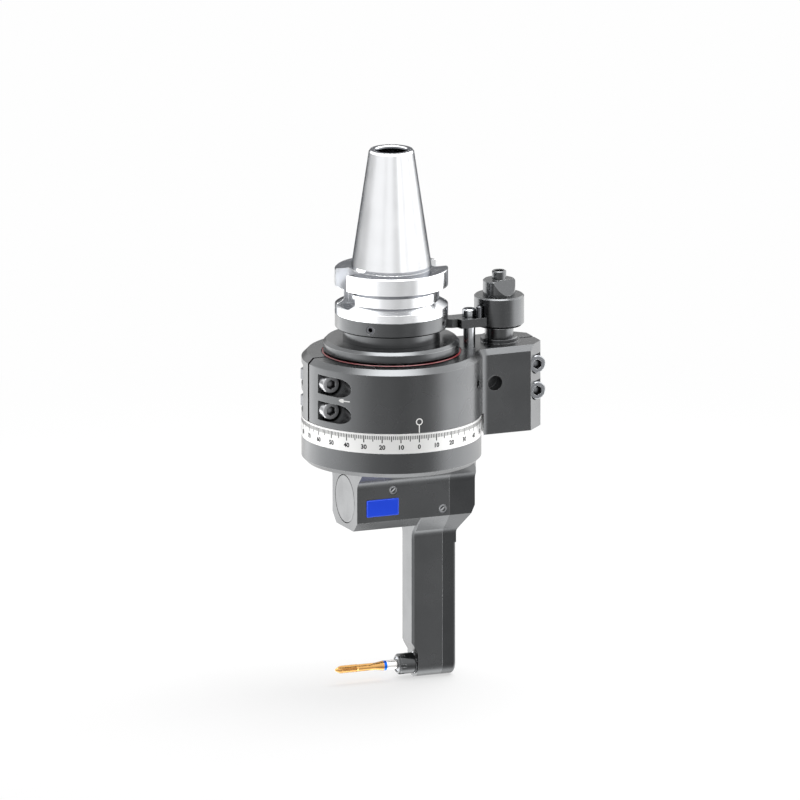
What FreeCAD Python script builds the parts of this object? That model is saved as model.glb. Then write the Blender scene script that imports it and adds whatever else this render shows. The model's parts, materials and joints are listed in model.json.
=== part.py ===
import FreeCAD, Part
import math
import os

V = FreeCAD.Vector

# Angle head, in millimetres. The origin is the centre of the taper's gauge line, +Z is up
# the taper towards the pull stud, the locating pin stands at +X and the cutter points to -X.

# Clearances
SEAT = 0.02            # between pieces of one body that seat on a round face
RUN = 0.05             # radial running clearance of a shaft or a sliding pin
APART = 0.3            # between pieces that move past each other
SCREW_ROOM = 0.3       # between a screw and its hole

# Taper shank, steep taper of size 40
GAUGE_R = 44.45 / 2
TAPER_L = 65.4
TAPER_RATE = 7 / 24
FLANGE_RISE = 9.275
FLANGE_TOP = -2.0
FLANGE_H = 25.0
GROOVE_DROP = 15.0
GROOVE_W = 11.2
GROOVE_DEPTH = 5.0
KEYWAY_W = 16.1
KEYWAY_DEPTH = 9.0
KEYWAY_H = 20.0
PULL_BORE_R = 8.5
PULL_BORE_DEPTH = 7.0
PULL_THREAD_R = 7.0
PULL_THREAD_L = 25.0
COOLANT_R = 3.0

# Rotating pieces below the flange
STEM_DROP = 2.225
SPIGOT_R = 14.0
SPIGOT_L = 8.0
LOCK_RING_H = 8.5
LOCK_RING_CHAMFER = 0.8
NOTCH_W = 7.0
NOTCH_DEPTH = 4.0
NOTCH_LEAP = 1.5
SET_SCREW_R = 2.5
SET_SCREW_KEY = 1.25
NECK_STEP = 4.5
NECK_H = 6.8
FLINGER_H = 5.8
FLINGER_CHAMFER = 1.6
FLINGER_INSET = 1.05
FLINGER_GAP = 1.4

# Main bearings and lower end of the drive
SHOULDER = 2.5
MAIN_SECTION = 13.5
MAIN_B = 14.0
ROLLER_R = 3.4
ROLLERS = 14
RETAINER_H = 4.0
LOCK_NUT_SECTION = 6.5
LOCK_NUT_H = 7.0
DRIVE_SHAFT_R = 6.0
DRIVE_TAIL_R = 5.0
DRIVE_TAIL_SECTION = 4.5
DRIVE_TAIL_B = 5.0

# Head body, scale ring and seal
HUB_WALL = 7.95
RING_WALL = 11.05
BODY_CHAMFER = 2.7
BODY_FOOT_H = 14.2
SCALE_H = 11.2
SCALE_WALL = 3.5
SEAL_W = 1.2
SEAL_H = 1.0

# Clamp ring with its pin block
CLAMP_H = 35.8
CLAMP_CHAMFER = 3.0
SLIT_W = 2.0
BLOCK_WALL = 8.0
BLOCK_REACH = 20.7
BLOCK_H = 48.3
BLOCK_CORNER = 10.0
BLOCK_BLEND = 6.0
BLOCK_SIDE_GAP = 1.3
M6_R = 3.0
CLAMP_SCREW_PITCH = 15.0
CLAMP_SEAT_Y = 10.6
PORT_OFFSET = 4.0
PORT_DROP = 19.3
PORT_R = 4.3
PORT_DEPTH = 8.0
RING_SCREW_AZ = 52.0
RING_SCREW_DROP = 16.0

# Locating pin and lock lever
PIN_REACH = 15.0
PIN_RISE = 26.2
PIN_STEM_R = 8.0
PIN_STEM_L = 56.7
PIN_HEAD_R = 9.0
PIN_HEAD_H = 8.6
PIN_NUB_R = 4.0
PIN_NUB_H = 5.0
PIN_NUB_BORE = 2.6
SLEEVE_WALL = 5.9
SLEEVE_H = 17.3
BUSH_WALL = 4.0
BUSH_COLLAR_H = 2.6
BUSH_FLOOR = 2.0
BUSH_L = 43.5
RETAINING_W = 1.4
RETAINING_H = 0.9
SPRING_WIRE = 1.2
SPRING_TURNS = 4
LEVER_H = 5.0
LEVER_BACK_Y = 5.4
LEVER_BAR_Y = 8.5
LEVER_NOSE_Y = 4.6
LEVER_NOSE_L = 5.9
POST_OFFSET = 18.0
POST_R = 3.3
POST_HEAD_R = 3.85
POST_HEAD_H = 4.0
POST_SEAT_DEPTH = 12.0
DOWEL_OFFSET = 3.2
DOWEL_R = 1.5
DOWEL_H = 6.6
DOWEL_SEAT = 3.0

# Gear case and arm
CASE_LEFT = -28.1
CASE_REACH = 21.0
CASE_Y = 17.5
CASE_H = 36.8
CASE_BEVEL = 5.5
CASE_FLARE = 9.5
CASE_FILLET = 7.0
CASE_SEAM_OFFSET = 5.6
CASE_TRIM = 3.0
SHOULDER_H = 10.1
SHOULDER_L = 15.9
ARM_REACH = 118.0
ARM_LEFT_SIDE = 12.6
ARM_RIGHT_SIDE = 13.8
ARM_Y = 7.7
ARM_EDGE = 1.2
ARM_END_FILLET = 1.5
NOSE_STEP = 3.6
NOSE_STEP_H = 12.9
NOSE_SLOPE = 6.4
CAP_R = 13.6
CAP_RISE = 16.3
CAP_T = 4.0
PLUG_R = 2.5
PLUG_DEPTH = 3.5
PLUG_SUNK = 0.2
FILL_PLUG_X = 21.9
FILL_PLUG_DROP = 14.0
DRAIN_PLUG_X = 1.8
DRAIN_PLUG_RISE = 9.5
COVER_SCREW_R = 2.0
COVER_SCREW_Y = 11.8

# Gear train
ARM_SHAFT_X = 22.0
SPUR_MODULE = 1.0
SPUR_DROP = 13.0
SPUR_W = 10.0
SPUR_BACKLASH = 0.08
BEVEL_MODULE = 0.55
BEVEL_TEETH = 16
BEVEL_FACE = 1.8
BEVEL_BACKLASH = 0.10
BEVEL_HUB_H = 2.2
PRESSURE = math.radians(20)
ARM_WALL = 1.7
ARM_SHAFT_R = 3.0
ARM_PINION_R = 2.0
SMALL_B = 4.0

# Output spindle
NOSE_BEARING_B = 2.7
REAR_BEARING_R = 2.5
TAP_SHANK_R = 2.75
COLLET_WALL = 1.35
COLLET_TAPER = 0.8
COLLET_L = 9.5
SPINDLE_WALL = 0.9
NUT_WALL = 0.85
NUT_L = 9.5
NUT_LIP = 2.2
NUT_SLOTS = 6
TAP_REACH = 37.1
TAP_THREAD_R = 2.25
TAP_THREAD_L = 17.0
TAP_LEAD_L = 3.2
TAP_NECK_R = 1.95
TAP_FLUTES = 3
TAP_FLUTE_R = 0.95

# Radii that follow from the sizes above
FLANGE_R = GAUGE_R + FLANGE_RISE
STEM_R = GAUGE_R - STEM_DROP
GROOVE_R = FLANGE_R - GROOVE_DEPTH
NECK_R = FLANGE_R - NECK_STEP
MAIN_BORE_R = STEM_R - SHOULDER
MAIN_OUTER_R = MAIN_BORE_R + MAIN_SECTION
LOCK_NUT_R = MAIN_BORE_R + LOCK_NUT_SECTION
BODY_NECK_R = MAIN_OUTER_R + HUB_WALL
BODY_R = BODY_NECK_R + RING_WALL
FLINGER_R = BODY_NECK_R - FLINGER_INSET
SLEEVE_R = PIN_STEM_R + SLEEVE_WALL
BUSH_R = PIN_STEM_R + BUSH_WALL
DRIVE_TAIL_OUTER_R = DRIVE_TAIL_R + DRIVE_TAIL_SECTION
ARM_BORE_R = ARM_Y - ARM_WALL
COLLET_R = TAP_SHANK_R + COLLET_WALL
COLLET_SMALL_R = COLLET_R - COLLET_TAPER
THREAD_R = COLLET_R + SPINDLE_WALL
NUT_R = THREAD_R + NUT_WALL
NOSE_BEARING_R = COLLET_SMALL_R + NUT_WALL - 0.15
SPUR_TEETH = round(ARM_SHAFT_X / SPUR_MODULE)
SPUR_TIP_R = SPUR_MODULE * (SPUR_TEETH + 2) / 2
CAVITY_R = SPUR_TIP_R + 3 * APART
BEVEL_R = BEVEL_MODULE * BEVEL_TEETH / 2

# Proportions of a socket head screw and its nut
M6_HEAD_R = M6_R * 5 / 3
M6_HEAD_H = M6_R * 2
M6_KEY = M6_R * 5 / 6
M6_NUT_R = M6_HEAD_R / math.cos(math.pi / 6)
M6_NUT_H = M6_R * 3 / 2
HEAD_POCKET_R = M6_HEAD_R + SCREW_ROOM + 0.1
NUT_POCKET_R = M6_NUT_R + SCREW_ROOM - 0.1

# Heights that follow, from the flange down
FLANGE_BOTTOM = FLANGE_TOP - FLANGE_H
GROOVE_Z = FLANGE_TOP - GROOVE_DROP
KEYWAY_BOTTOM = FLANGE_TOP - KEYWAY_H
LOCK_RING_BOTTOM = FLANGE_BOTTOM - LOCK_RING_H
LEVER_TOP = LOCK_RING_BOTTOM + NOTCH_LEAP
LEVER_BOTTOM = LEVER_TOP - LEVER_H
FLINGER_TOP = LOCK_RING_BOTTOM - NECK_H
FLINGER_BOTTOM = FLINGER_TOP - FLINGER_H
CLAMP_TOP = FLINGER_BOTTOM - FLINGER_GAP
CLAMP_BOTTOM = CLAMP_TOP - CLAMP_H
CLAMP_MIDDLE = CLAMP_TOP - CLAMP_H / 2 - 1.6
CLAMP_SCREW_ZS = [CLAMP_MIDDLE + side * CLAMP_SCREW_PITCH / 2 for side in (1, -1)]
BLOCK_BOTTOM = CLAMP_TOP - BLOCK_H
PORT_Z = CLAMP_TOP - PORT_DROP
RING_SCREW_Z = CLAMP_TOP - RING_SCREW_DROP
BODY_TOP = CLAMP_TOP - APART
RETAINER_BOTTOM = BODY_TOP - RETAINER_H
MAIN_BOTTOM = RETAINER_BOTTOM - 2 * MAIN_B
SPINDLE_END = MAIN_BOTTOM - LOCK_NUT_H - 2
SCALE_TOP = CLAMP_BOTTOM - APART
SCALE_BOTTOM = SCALE_TOP - SCALE_H
BODY_BOTTOM = SCALE_BOTTOM - BODY_FOOT_H
BODY_FLOOR_TOP = SPINDLE_END - 6
SLEEVE_TOP = CLAMP_TOP + PIN_RISE
SLEEVE_BOTTOM = SLEEVE_TOP - SLEEVE_H
PIN_STEM_BOTTOM = SLEEVE_TOP - PIN_STEM_L
BUSH_BOTTOM = CLAMP_TOP - BUSH_L
CASE_BOTTOM = BODY_BOTTOM - CASE_H
SHOULDER_Z = CASE_BOTTOM + SHOULDER_H
ARM_TOP = SHOULDER_Z - SHOULDER_L
SPUR_TOP = BODY_BOTTOM - SPUR_DROP
CAVITY_TOP = SPUR_TOP + 2 * APART
CAVITY_BOTTOM = SPUR_TOP - SPUR_W - 2 * APART
CAP_Z = CASE_BOTTOM + CAP_RISE
OUTPUT_Z = BODY_BOTTOM - ARM_REACH
NOSE_STEP_TOP = OUTPUT_Z + NOSE_STEP_H
PINION_TOP = OUTPUT_Z + BEVEL_R + BEVEL_HUB_H

# Places along X and Y that follow
CLAMP_SCREW_X = -(BODY_NECK_R + M6_R + 1.45)
PIN_X = BODY_R + PIN_REACH
PIN_SCREW_X = PIN_X + BUSH_R + M6_R + SCREW_ROOM + 1
PORT_X = BODY_R + PORT_OFFSET
POST_X = PIN_X - POST_OFFSET
DOWEL_X = POST_X + DOWEL_OFFSET
DOWEL_Y = -(LEVER_BAR_Y - DOWEL_R - 0.4)
BLOCK_END = PIN_X + BLOCK_REACH
BLOCK_Y = BUSH_R + BLOCK_WALL
PIN_SCREW_SEAT_Y = BLOCK_Y - BLOCK_CORNER
LEVER_TIP_X = FLANGE_R + APART + 0.1
CASE_RIGHT = ARM_SHAFT_X + CASE_REACH
CASE_SEAM = ARM_SHAFT_X + CASE_SEAM_OFFSET
CASE_TRIM_R = BODY_R - CASE_TRIM
ARM_LEFT = ARM_SHAFT_X - ARM_LEFT_SIDE
ARM_RIGHT = ARM_SHAFT_X + ARM_RIGHT_SIDE
FILL_PLUG = (CASE_LEFT + FILL_PLUG_X, BODY_BOTTOM - FILL_PLUG_DROP)
DRAIN_PLUG = (ARM_SHAFT_X + DRAIN_PLUG_X, CASE_BOTTOM + DRAIN_PLUG_RISE)
NOSE_STEP_X = ARM_LEFT + NOSE_STEP
NUT_BACK_X = NOSE_STEP_X - APART - 0.1
NUT_FACE_X = NUT_BACK_X - NUT_L
NOSE_BEARING_X = NOSE_STEP_X + APART
GEAR_BACK_X = ARM_SHAFT_X + BEVEL_R + BEVEL_HUB_H
REAR_BEARING_X = GEAR_BACK_X + 1.4
TAP_TIP_X = NUT_FACE_X - TAP_REACH


def cylinder(r, low, high, x=0.0, y=0.0):
    """Upright cylinder between two heights."""
    return Part.makeCylinder(r, high - low, V(x, y, low))


def rod_x(r, left, right, z, y=0.0):
    """Cylinder lying along X."""
    return Part.makeCylinder(r, right - left, V(left, y, z), V(1, 0, 0))


def rod_y(r, front, back, x, z):
    """Cylinder lying along Y."""
    return Part.makeCylinder(r, back - front, V(x, front, z), V(0, 1, 0))


def box(low, high):
    """Box between two corners."""
    size = [b - a for a, b in zip(low, high)]
    return Part.makeBox(*size, V(*low))


def polygon_face(points):
    """Flat face on a closed outline."""
    return Part.Face(Part.makePolygon(points + points[:1]))


def turned_z(profile, x=0.0, y=0.0):
    """Solid turned about an upright axis from (radius, height) points."""
    face = polygon_face([V(x + r, y, z) for r, z in profile])
    return face.revolve(V(x, y, 0), V(0, 0, 1), 360)


def turned_x(profile, z, y=0.0):
    """Solid turned about an axis along X from (radius, x) points."""
    face = polygon_face([V(x, y, z + r) for r, x in profile])
    return face.revolve(V(0, y, z), V(1, 0, 0), 360)


def ring(inner, outer, low, high, x=0.0, y=0.0):
    """Plain upright ring."""
    return turned_z([(inner, low), (outer, low), (outer, high), (inner, high)], x, y)


def prism(points, length, direction):
    """Outline pushed along a direction."""
    return polygon_face(points).extrude(direction * length)


def hexagon(radius, centre, axis, length):
    """Six-sided prism along an axis, for sockets and nuts."""
    circle = Part.Circle(centre, axis, radius)
    points = [circle.value(math.radians(60 * i)) for i in range(6)]
    return polygon_face(points).extrude(axis * length)


def cap_screw(seat, axis, length, r=M6_R, head_r=M6_HEAD_R, head_h=M6_HEAD_H, key=M6_KEY):
    """Socket head screw. The seat is under the head, and axis points out of the head."""
    shank = Part.makeCylinder(r, length, seat, axis * -1)
    head = Part.makeCylinder(head_r, head_h, seat, axis)
    rim = [e for e in head.Edges if abs((e.CenterOfMass - seat).dot(axis) - head_h) < 0.01]
    head = head.makeChamfer(head_h * 0.08, rim[:1])
    socket = hexagon(key / math.cos(math.pi / 6), seat + axis * (head_h * 0.5), axis, head_h)
    return shank.fuse(head).cut(socket)


def polar(radius, azimuth, z):
    """Point at an azimuth counted from -Y towards +X."""
    angle = math.radians(azimuth)
    return V(radius * math.sin(angle), -radius * math.cos(angle), z)


# Drive: the shank and all that turns with it

def taper_shank():
    small_r = GAUGE_R - TAPER_L * TAPER_RATE / 2
    slope = GROOVE_DEPTH * math.tan(math.radians(30))
    top, bottom = GROOVE_Z + GROOVE_W / 2, GROOVE_Z - GROOVE_W / 2
    seat_top = FLANGE_BOTTOM + SPIGOT_L + APART
    shank = turned_z([
        (COOLANT_R, TAPER_L), (small_r - 0.8, TAPER_L), (small_r, TAPER_L - 1.2),
        (GAUGE_R, 0), (GAUGE_R, FLANGE_TOP),
        (FLANGE_R - 0.5, FLANGE_TOP), (FLANGE_R, FLANGE_TOP - 0.5),
        (FLANGE_R, top), (GROOVE_R, top - slope), (GROOVE_R, bottom + slope), (FLANGE_R, bottom),
        (FLANGE_R, FLANGE_BOTTOM), (SPIGOT_R + SEAT, FLANGE_BOTTOM),
        (SPIGOT_R + SEAT, seat_top), (COOLANT_R, seat_top),
    ])
    pull = turned_z([
        (0, TAPER_L + 1), (PULL_BORE_R + 1.4, TAPER_L + 1), (PULL_BORE_R, TAPER_L - 1.4),
        (PULL_BORE_R, TAPER_L - PULL_BORE_DEPTH), (PULL_THREAD_R, TAPER_L - PULL_BORE_DEPTH),
        (PULL_THREAD_R, TAPER_L - PULL_BORE_DEPTH - PULL_THREAD_L),
        (0, TAPER_L - PULL_BORE_DEPTH - PULL_THREAD_L - PULL_THREAD_R * 0.5),
    ])
    shank = shank.cut(pull)
    floor = FLANGE_R - KEYWAY_DEPTH
    for side in (-1, 1):
        near, far = sorted((side * floor, side * (FLANGE_R + 1)))
        shank = shank.cut(box((near, -KEYWAY_W / 2, KEYWAY_BOTTOM), (far, KEYWAY_W / 2, FLANGE_TOP + 1)))
    return shank


def main_spindle():
    """Hollow spindle that is pressed into the shank and carries the bearings."""
    spindle = turned_z([
        (COOLANT_R, FLANGE_BOTTOM + SPIGOT_L), (SPIGOT_R - 0.5, FLANGE_BOTTOM + SPIGOT_L),
        (SPIGOT_R, FLANGE_BOTTOM + SPIGOT_L - 0.5), (SPIGOT_R, FLANGE_BOTTOM),
        (STEM_R, FLANGE_BOTTOM), (STEM_R, RETAINER_BOTTOM), (MAIN_BORE_R, RETAINER_BOTTOM),
        (MAIN_BORE_R, SPINDLE_END), (COOLANT_R, SPINDLE_END),
    ])
    return spindle.cut(cylinder(DRIVE_SHAFT_R + SEAT, SPINDLE_END - 1, MAIN_BOTTOM + MAIN_B))


def lock_ring():
    c = LOCK_RING_CHAMFER
    body = turned_z([
        (STEM_R + SEAT, LOCK_RING_BOTTOM), (FLANGE_R - c, LOCK_RING_BOTTOM),
        (FLANGE_R, LOCK_RING_BOTTOM + c), (FLANGE_R, FLANGE_BOTTOM), (STEM_R + SEAT, FLANGE_BOTTOM),
    ])
    notch = box((FLANGE_R - NOTCH_DEPTH, -NOTCH_W / 2, LOCK_RING_BOTTOM - 1),
                (FLANGE_R + 1, NOTCH_W / 2, LEVER_TOP + 3 * APART))
    body = body.cut(notch)
    for az in lock_screw_azimuths():
        inner, outer = lock_screw_seat(az), polar(FLANGE_R + 1, az, lock_screw_z())
        body = body.cut(Part.makeCylinder(SET_SCREW_R, (outer - inner).Length, inner, outer - inner))
    return body


def lock_screw_azimuths():
    return (-45, 45, 135, 225)


def lock_screw_z():
    return (FLANGE_BOTTOM + LOCK_RING_BOTTOM) / 2


def lock_screw_length():
    return (FLANGE_R - STEM_R) * 0.52


def lock_screw_seat(az):
    return polar(FLANGE_R - lock_screw_length() - 0.4, az, lock_screw_z())


def set_screw(seat, outward, length):
    """Grub screw with a six-sided socket in its outer end."""
    body = Part.makeCylinder(SET_SCREW_R - SEAT, length, seat, outward)
    hex_r = SET_SCREW_KEY / math.cos(math.pi / 6)
    return body.cut(hexagon(hex_r, seat + outward * (length * 0.5), outward, length))


def lock_ring_screws():
    return [set_screw(lock_screw_seat(az), polar(1, az, 0), lock_screw_length()) for az in lock_screw_azimuths()]


def neck_spacer():
    """Plain ring between the lock ring and the flinger."""
    return ring(STEM_R + SEAT, NECK_R, FLINGER_TOP, LOCK_RING_BOTTOM)


def flinger():
    """Disc that throws coolant off above the seal, with a lip under its rim."""
    c = FLINGER_CHAMFER
    rim = c + 0.6
    roof = FLINGER_BOTTOM + FLINGER_H * 0.2
    return turned_z([
        (STEM_R + SEAT, FLINGER_TOP), (FLINGER_R - c, FLINGER_TOP), (FLINGER_R, FLINGER_TOP - c),
        (FLINGER_R, FLINGER_BOTTOM), (FLINGER_R - rim, FLINGER_BOTTOM),
        (FLINGER_R - rim, roof), (STEM_R + SEAT, roof),
    ])


def main_row_heights():
    return [RETAINER_BOTTOM - MAIN_B * (i + 0.5) for i in range(2)]


def roller_pitch_r():
    return (MAIN_BORE_R + MAIN_OUTER_R) / 2


def main_bearing_races(inner):
    """Rings of two cylindrical roller bearings. The outer rings have the ribs."""
    pitch = roller_pitch_r()
    rib = MAIN_B * 0.16
    races = []
    for z in main_row_heights():
        low, high = z - MAIN_B / 2, z + MAIN_B / 2
        if inner:
            races.append(ring(MAIN_BORE_R + SEAT, pitch - ROLLER_R - RUN, low, high))
            continue
        track, lip = pitch + ROLLER_R + RUN, pitch + ROLLER_R * 0.55
        races.append(turned_z([
            (lip, low), (MAIN_OUTER_R, low), (MAIN_OUTER_R, high), (lip, high),
            (lip, high - rib), (track, high - rib), (track, low + rib), (lip, low + rib),
        ]))
    return races


def main_bearing_rollers():
    half = MAIN_B * 0.34 - SEAT
    rollers = []
    for z in main_row_heights():
        for i in range(ROLLERS):
            at = polar(roller_pitch_r(), 360 * i / ROLLERS, 0)
            rollers.append(cylinder(ROLLER_R, z - half, z + half, at.x, at.y))
    return rollers


def main_lock_nut():
    top = MAIN_BOTTOM
    nut = ring(MAIN_BORE_R + SEAT, LOCK_NUT_R, top - LOCK_NUT_H, top)
    for i in range(4):
        slot = box((LOCK_NUT_R - 2, -2.5, top - LOCK_NUT_H - 1), (LOCK_NUT_R + 1, 2.5, top + 1))
        slot.rotate(V(0, 0, 0), V(0, 0, 1), 45 + 90 * i)
        nut = nut.cut(slot)
    return nut


def drive_shaft():
    tail_top = CAVITY_BOTTOM - APART
    return turned_z([
        (0, MAIN_BOTTOM + MAIN_B - 1), (DRIVE_SHAFT_R, MAIN_BOTTOM + MAIN_B - 1),
        (DRIVE_SHAFT_R, tail_top), (DRIVE_TAIL_R, tail_top),
        (DRIVE_TAIL_R, tail_top - DRIVE_TAIL_B), (0, tail_top - DRIVE_TAIL_B),
    ])


# Gears

def involute_angle(alpha):
    return math.tan(alpha) - alpha


def half_tooth(radius, pitch_r, teeth, backlash):
    """Half the tooth's angle at a radius of an involute gear."""
    base = pitch_r * math.cos(PRESSURE)
    alpha = math.acos(min(1.0, base / radius))
    at_pitch = math.pi / (2 * teeth) - backlash / pitch_r
    return at_pitch + involute_angle(PRESSURE) - involute_angle(alpha)


def tooth_outline(teeth, flank):
    """Closed outline of a gear from (radius, half angle) points of one flank, root first."""
    points = []
    for i in range(teeth):
        middle = 2 * math.pi * i / teeth
        for r, half in flank:
            points.append((r * math.cos(middle - half), r * math.sin(middle - half)))
        for r, half in reversed(flank):
            points.append((r * math.cos(middle + half), r * math.sin(middle + half)))
    return points


def spur_flank():
    pitch = SPUR_MODULE * SPUR_TEETH / 2
    root = pitch - 1.25 * SPUR_MODULE
    radii = [pitch - 0.6 * SPUR_MODULE, pitch, SPUR_TIP_R - 0.5 * SPUR_MODULE, SPUR_TIP_R]
    flank = [(r, half_tooth(r, pitch, SPUR_TEETH, SPUR_BACKLASH)) for r in radii]
    return [(root, flank[0][1] * 1.12)] + flank


def spur_gear(x, bore, turned):
    """Spur gear on an upright shaft. turned is its angle in tooth pitches."""
    outline = tooth_outline(SPUR_TEETH, spur_flank())
    gear = prism([V(a, b, SPUR_TOP - SPUR_W) for a, b in outline], SPUR_W, V(0, 0, 1))
    gear = gear.cut(cylinder(bore + SEAT, SPUR_TOP - SPUR_W - 1, SPUR_TOP + 1))
    gear.rotate(V(0, 0, 0), V(0, 0, 1), turned * 360 / SPUR_TEETH)
    gear.translate(V(x, 0, 0))
    return gear


def bevel_flank():
    """Flank of a 45 degree bevel gear on the flat plane at its large end."""
    cone = BEVEL_R * math.sqrt(2)
    virtual_teeth = BEVEL_TEETH * math.sqrt(2)
    flank = []
    for offset in (-0.62, 0.0, 0.5, 1.0):
        e = offset * BEVEL_MODULE
        half = half_tooth(cone + e, cone, virtual_teeth, BEVEL_BACKLASH) * (cone + e)
        angle = half / (BEVEL_R + e / math.sqrt(2))
        flank.append((BEVEL_R * math.tan(math.pi / 4 + e / cone), angle))
    root = BEVEL_R * math.tan(math.pi / 4 - 1.25 * BEVEL_MODULE / cone)
    return [(root, flank[0][1] * 1.1)] + flank


def bevel_gear(bore, turned):
    """Bevel gear on +Z with its apex at the origin. turned is in tooth pitches."""
    outline = tooth_outline(BEVEL_TEETH, bevel_flank())
    small = 1 - BEVEL_FACE / (BEVEL_R * math.sqrt(2))
    wires = []
    for scale in (small, 1.0):
        points = [V(a * scale, b * scale, BEVEL_R * scale) for a, b in outline]
        wires.append(Part.makePolygon(points + points[:1]))
    gear = Part.makeLoft(wires, True, True)
    root = bevel_flank()[0][0]
    gear = gear.fuse(cylinder(root - 0.1, BEVEL_R, BEVEL_R + BEVEL_HUB_H))
    gear = gear.cut(cylinder(bore + SEAT, 0, BEVEL_R + BEVEL_HUB_H + 1))
    gear.rotate(V(0, 0, 0), V(0, 0, 1), turned * 360 / BEVEL_TEETH)
    return gear


def arm_pinion():
    gear = bevel_gear(ARM_PINION_R, 0)
    gear.translate(V(ARM_SHAFT_X, 0, OUTPUT_Z))
    return gear


def output_gear():
    gear = bevel_gear(spindle_r(), 0.5)
    gear.rotate(V(0, 0, 0), V(0, 1, 0), 90)
    gear.translate(V(ARM_SHAFT_X, 0, OUTPUT_Z))
    return gear


# Head body, the piece that carries everything else

def head_body():
    c = BODY_CHAMFER
    seat = BODY_R - SCALE_WALL
    ledge = BODY_TOP - SEAL_H / 2
    seal_wall = BODY_NECK_R - SEAL_W - SEAT
    return turned_z([
        (MAIN_OUTER_R + SEAT, BODY_TOP), (seal_wall, BODY_TOP), (seal_wall, ledge),
        (BODY_NECK_R - 0.3, ledge), (BODY_NECK_R, ledge - 0.3),
        (BODY_NECK_R, SCALE_TOP), (seat, SCALE_TOP), (seat, SCALE_BOTTOM), (BODY_R, SCALE_BOTTOM),
        (BODY_R, BODY_BOTTOM + c), (BODY_R - c, BODY_BOTTOM), (DRIVE_SHAFT_R + 2, BODY_BOTTOM),
        (DRIVE_SHAFT_R + 2, BODY_FLOOR_TOP), (LOCK_NUT_R + 2, BODY_FLOOR_TOP),
        (LOCK_NUT_R + 2, MAIN_BOTTOM), (MAIN_OUTER_R + SEAT, MAIN_BOTTOM),
    ])


def neck_seal():
    """Lip seal in the rabbet round the top of the body, with its crown towards the flinger."""
    inner, outer = BODY_NECK_R - SEAL_W, BODY_NECK_R - 0.4
    low = BODY_TOP - SEAL_H / 2
    high = low + SEAL_H
    c = SEAL_H * 0.3
    return turned_z([
        (inner, low), (outer, low), (outer + 0.1, low + c), (outer + 0.1, high - c),
        (outer - c, high), (inner + c * 0.6, high), (inner, high - c),
    ])


def bearing_retainer():
    ring_body = ring(STEM_R + 2, MAIN_OUTER_R, RETAINER_BOTTOM, BODY_TOP)
    holes = []
    for i in range(4):
        at = polar(MAIN_OUTER_R - 4, 90 * i, 0)
        holes.append(cylinder(1.5, RETAINER_BOTTOM + 1, BODY_TOP + 1, at.x, at.y))
    return ring_body.cut(holes)


def scale_ring():
    seat = BODY_R - SCALE_WALL + SEAT
    return ring(seat, BODY_R, SCALE_BOTTOM, SCALE_TOP)


# Clamp ring with the pin block

def clamp_blank():
    """The ring and its block as one solid, with a blend where they meet."""
    low, height = BLOCK_BOTTOM, CLAMP_TOP - BLOCK_BOTTOM
    end, side, corner = BLOCK_END, BLOCK_Y, BLOCK_CORNER
    block = prism([
        V(0, -side, low), V(end - corner, -side, low), V(end, -side + corner, low),
        V(end, side - corner, low), V(end - corner, side, low), V(0, side, low),
    ], height, V(0, 0, 1))
    blank = cylinder(BODY_R, low, CLAMP_TOP).fuse(block)
    return blank.fuse([blend_web(1, low, height), blend_web(-1, low, height)]).removeSplitter()


def blend_web(side, low, height):
    """Concave fillet between the round ring and the block's side face."""
    centre_y = BLOCK_Y + BLOCK_BLEND
    centre_x = math.sqrt((BODY_R + BLOCK_BLEND) ** 2 - centre_y ** 2)
    on_ring = BODY_R / (BODY_R + BLOCK_BLEND)
    ring_point = V(centre_x * on_ring, side * centre_y * on_ring, 0)
    centre = V(centre_x, side * centre_y, 0)
    block_point = V(centre_x, side * BLOCK_Y, 0)
    toward = (ring_point + block_point) * 0.5 - centre
    middle = centre + toward * (BLOCK_BLEND / toward.Length)
    root = V(BODY_R * 0.7, side * BLOCK_Y * 0.5, 0)
    edges = [
        Part.makeLine(root, ring_point),
        Part.Arc(ring_point, middle, block_point).toShape(),
        Part.makeLine(block_point, root),
    ]
    web = Part.Face(Part.Wire(edges)).extrude(V(0, 0, height))
    web.translate(V(0, 0, low))
    return web


def clamp_ring():
    body = bevel_top(clamp_blank())
    under = cylinder(BODY_R + BLOCK_SIDE_GAP, BLOCK_BOTTOM - 1, CLAMP_BOTTOM)
    body = body.cut(under)
    body = body.cut(cylinder(BODY_NECK_R + RUN, BLOCK_BOTTOM - 1, CLAMP_TOP + 1))
    body = body.cut(cylinder(BUSH_R + SEAT, BLOCK_BOTTOM - 1, CLAMP_TOP + 1, PIN_X))
    slits = [
        box((-BODY_R - 1, -SLIT_W / 2, CLAMP_BOTTOM - 1), (-BODY_NECK_R + 1, SLIT_W / 2, CLAMP_TOP + 1)),
        box((PIN_X, -SLIT_W / 2, BLOCK_BOTTOM - 1), (BLOCK_END + 1, SLIT_W / 2, CLAMP_TOP + 1)),
    ]
    body = body.cut(slits)
    for z in CLAMP_SCREW_ZS:
        body = body.cut(screw_pockets(CLAMP_SCREW_X, CLAMP_SEAT_Y, BODY_R, -BODY_R - 1, z))
        body = body.cut(screw_pockets(PIN_SCREW_X, PIN_SCREW_SEAT_Y, BLOCK_Y + 1, BLOCK_END + 1, z))
    body = body.cut(rod_y(PORT_R, -BLOCK_Y - 1, -BLOCK_Y + PORT_DEPTH, PORT_X, PORT_Z))
    body = body.cut(cylinder(POST_R + SEAT, CLAMP_TOP - POST_SEAT_DEPTH, CLAMP_TOP + 1, POST_X))
    return body.cut(ring_screw_hole())


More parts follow.
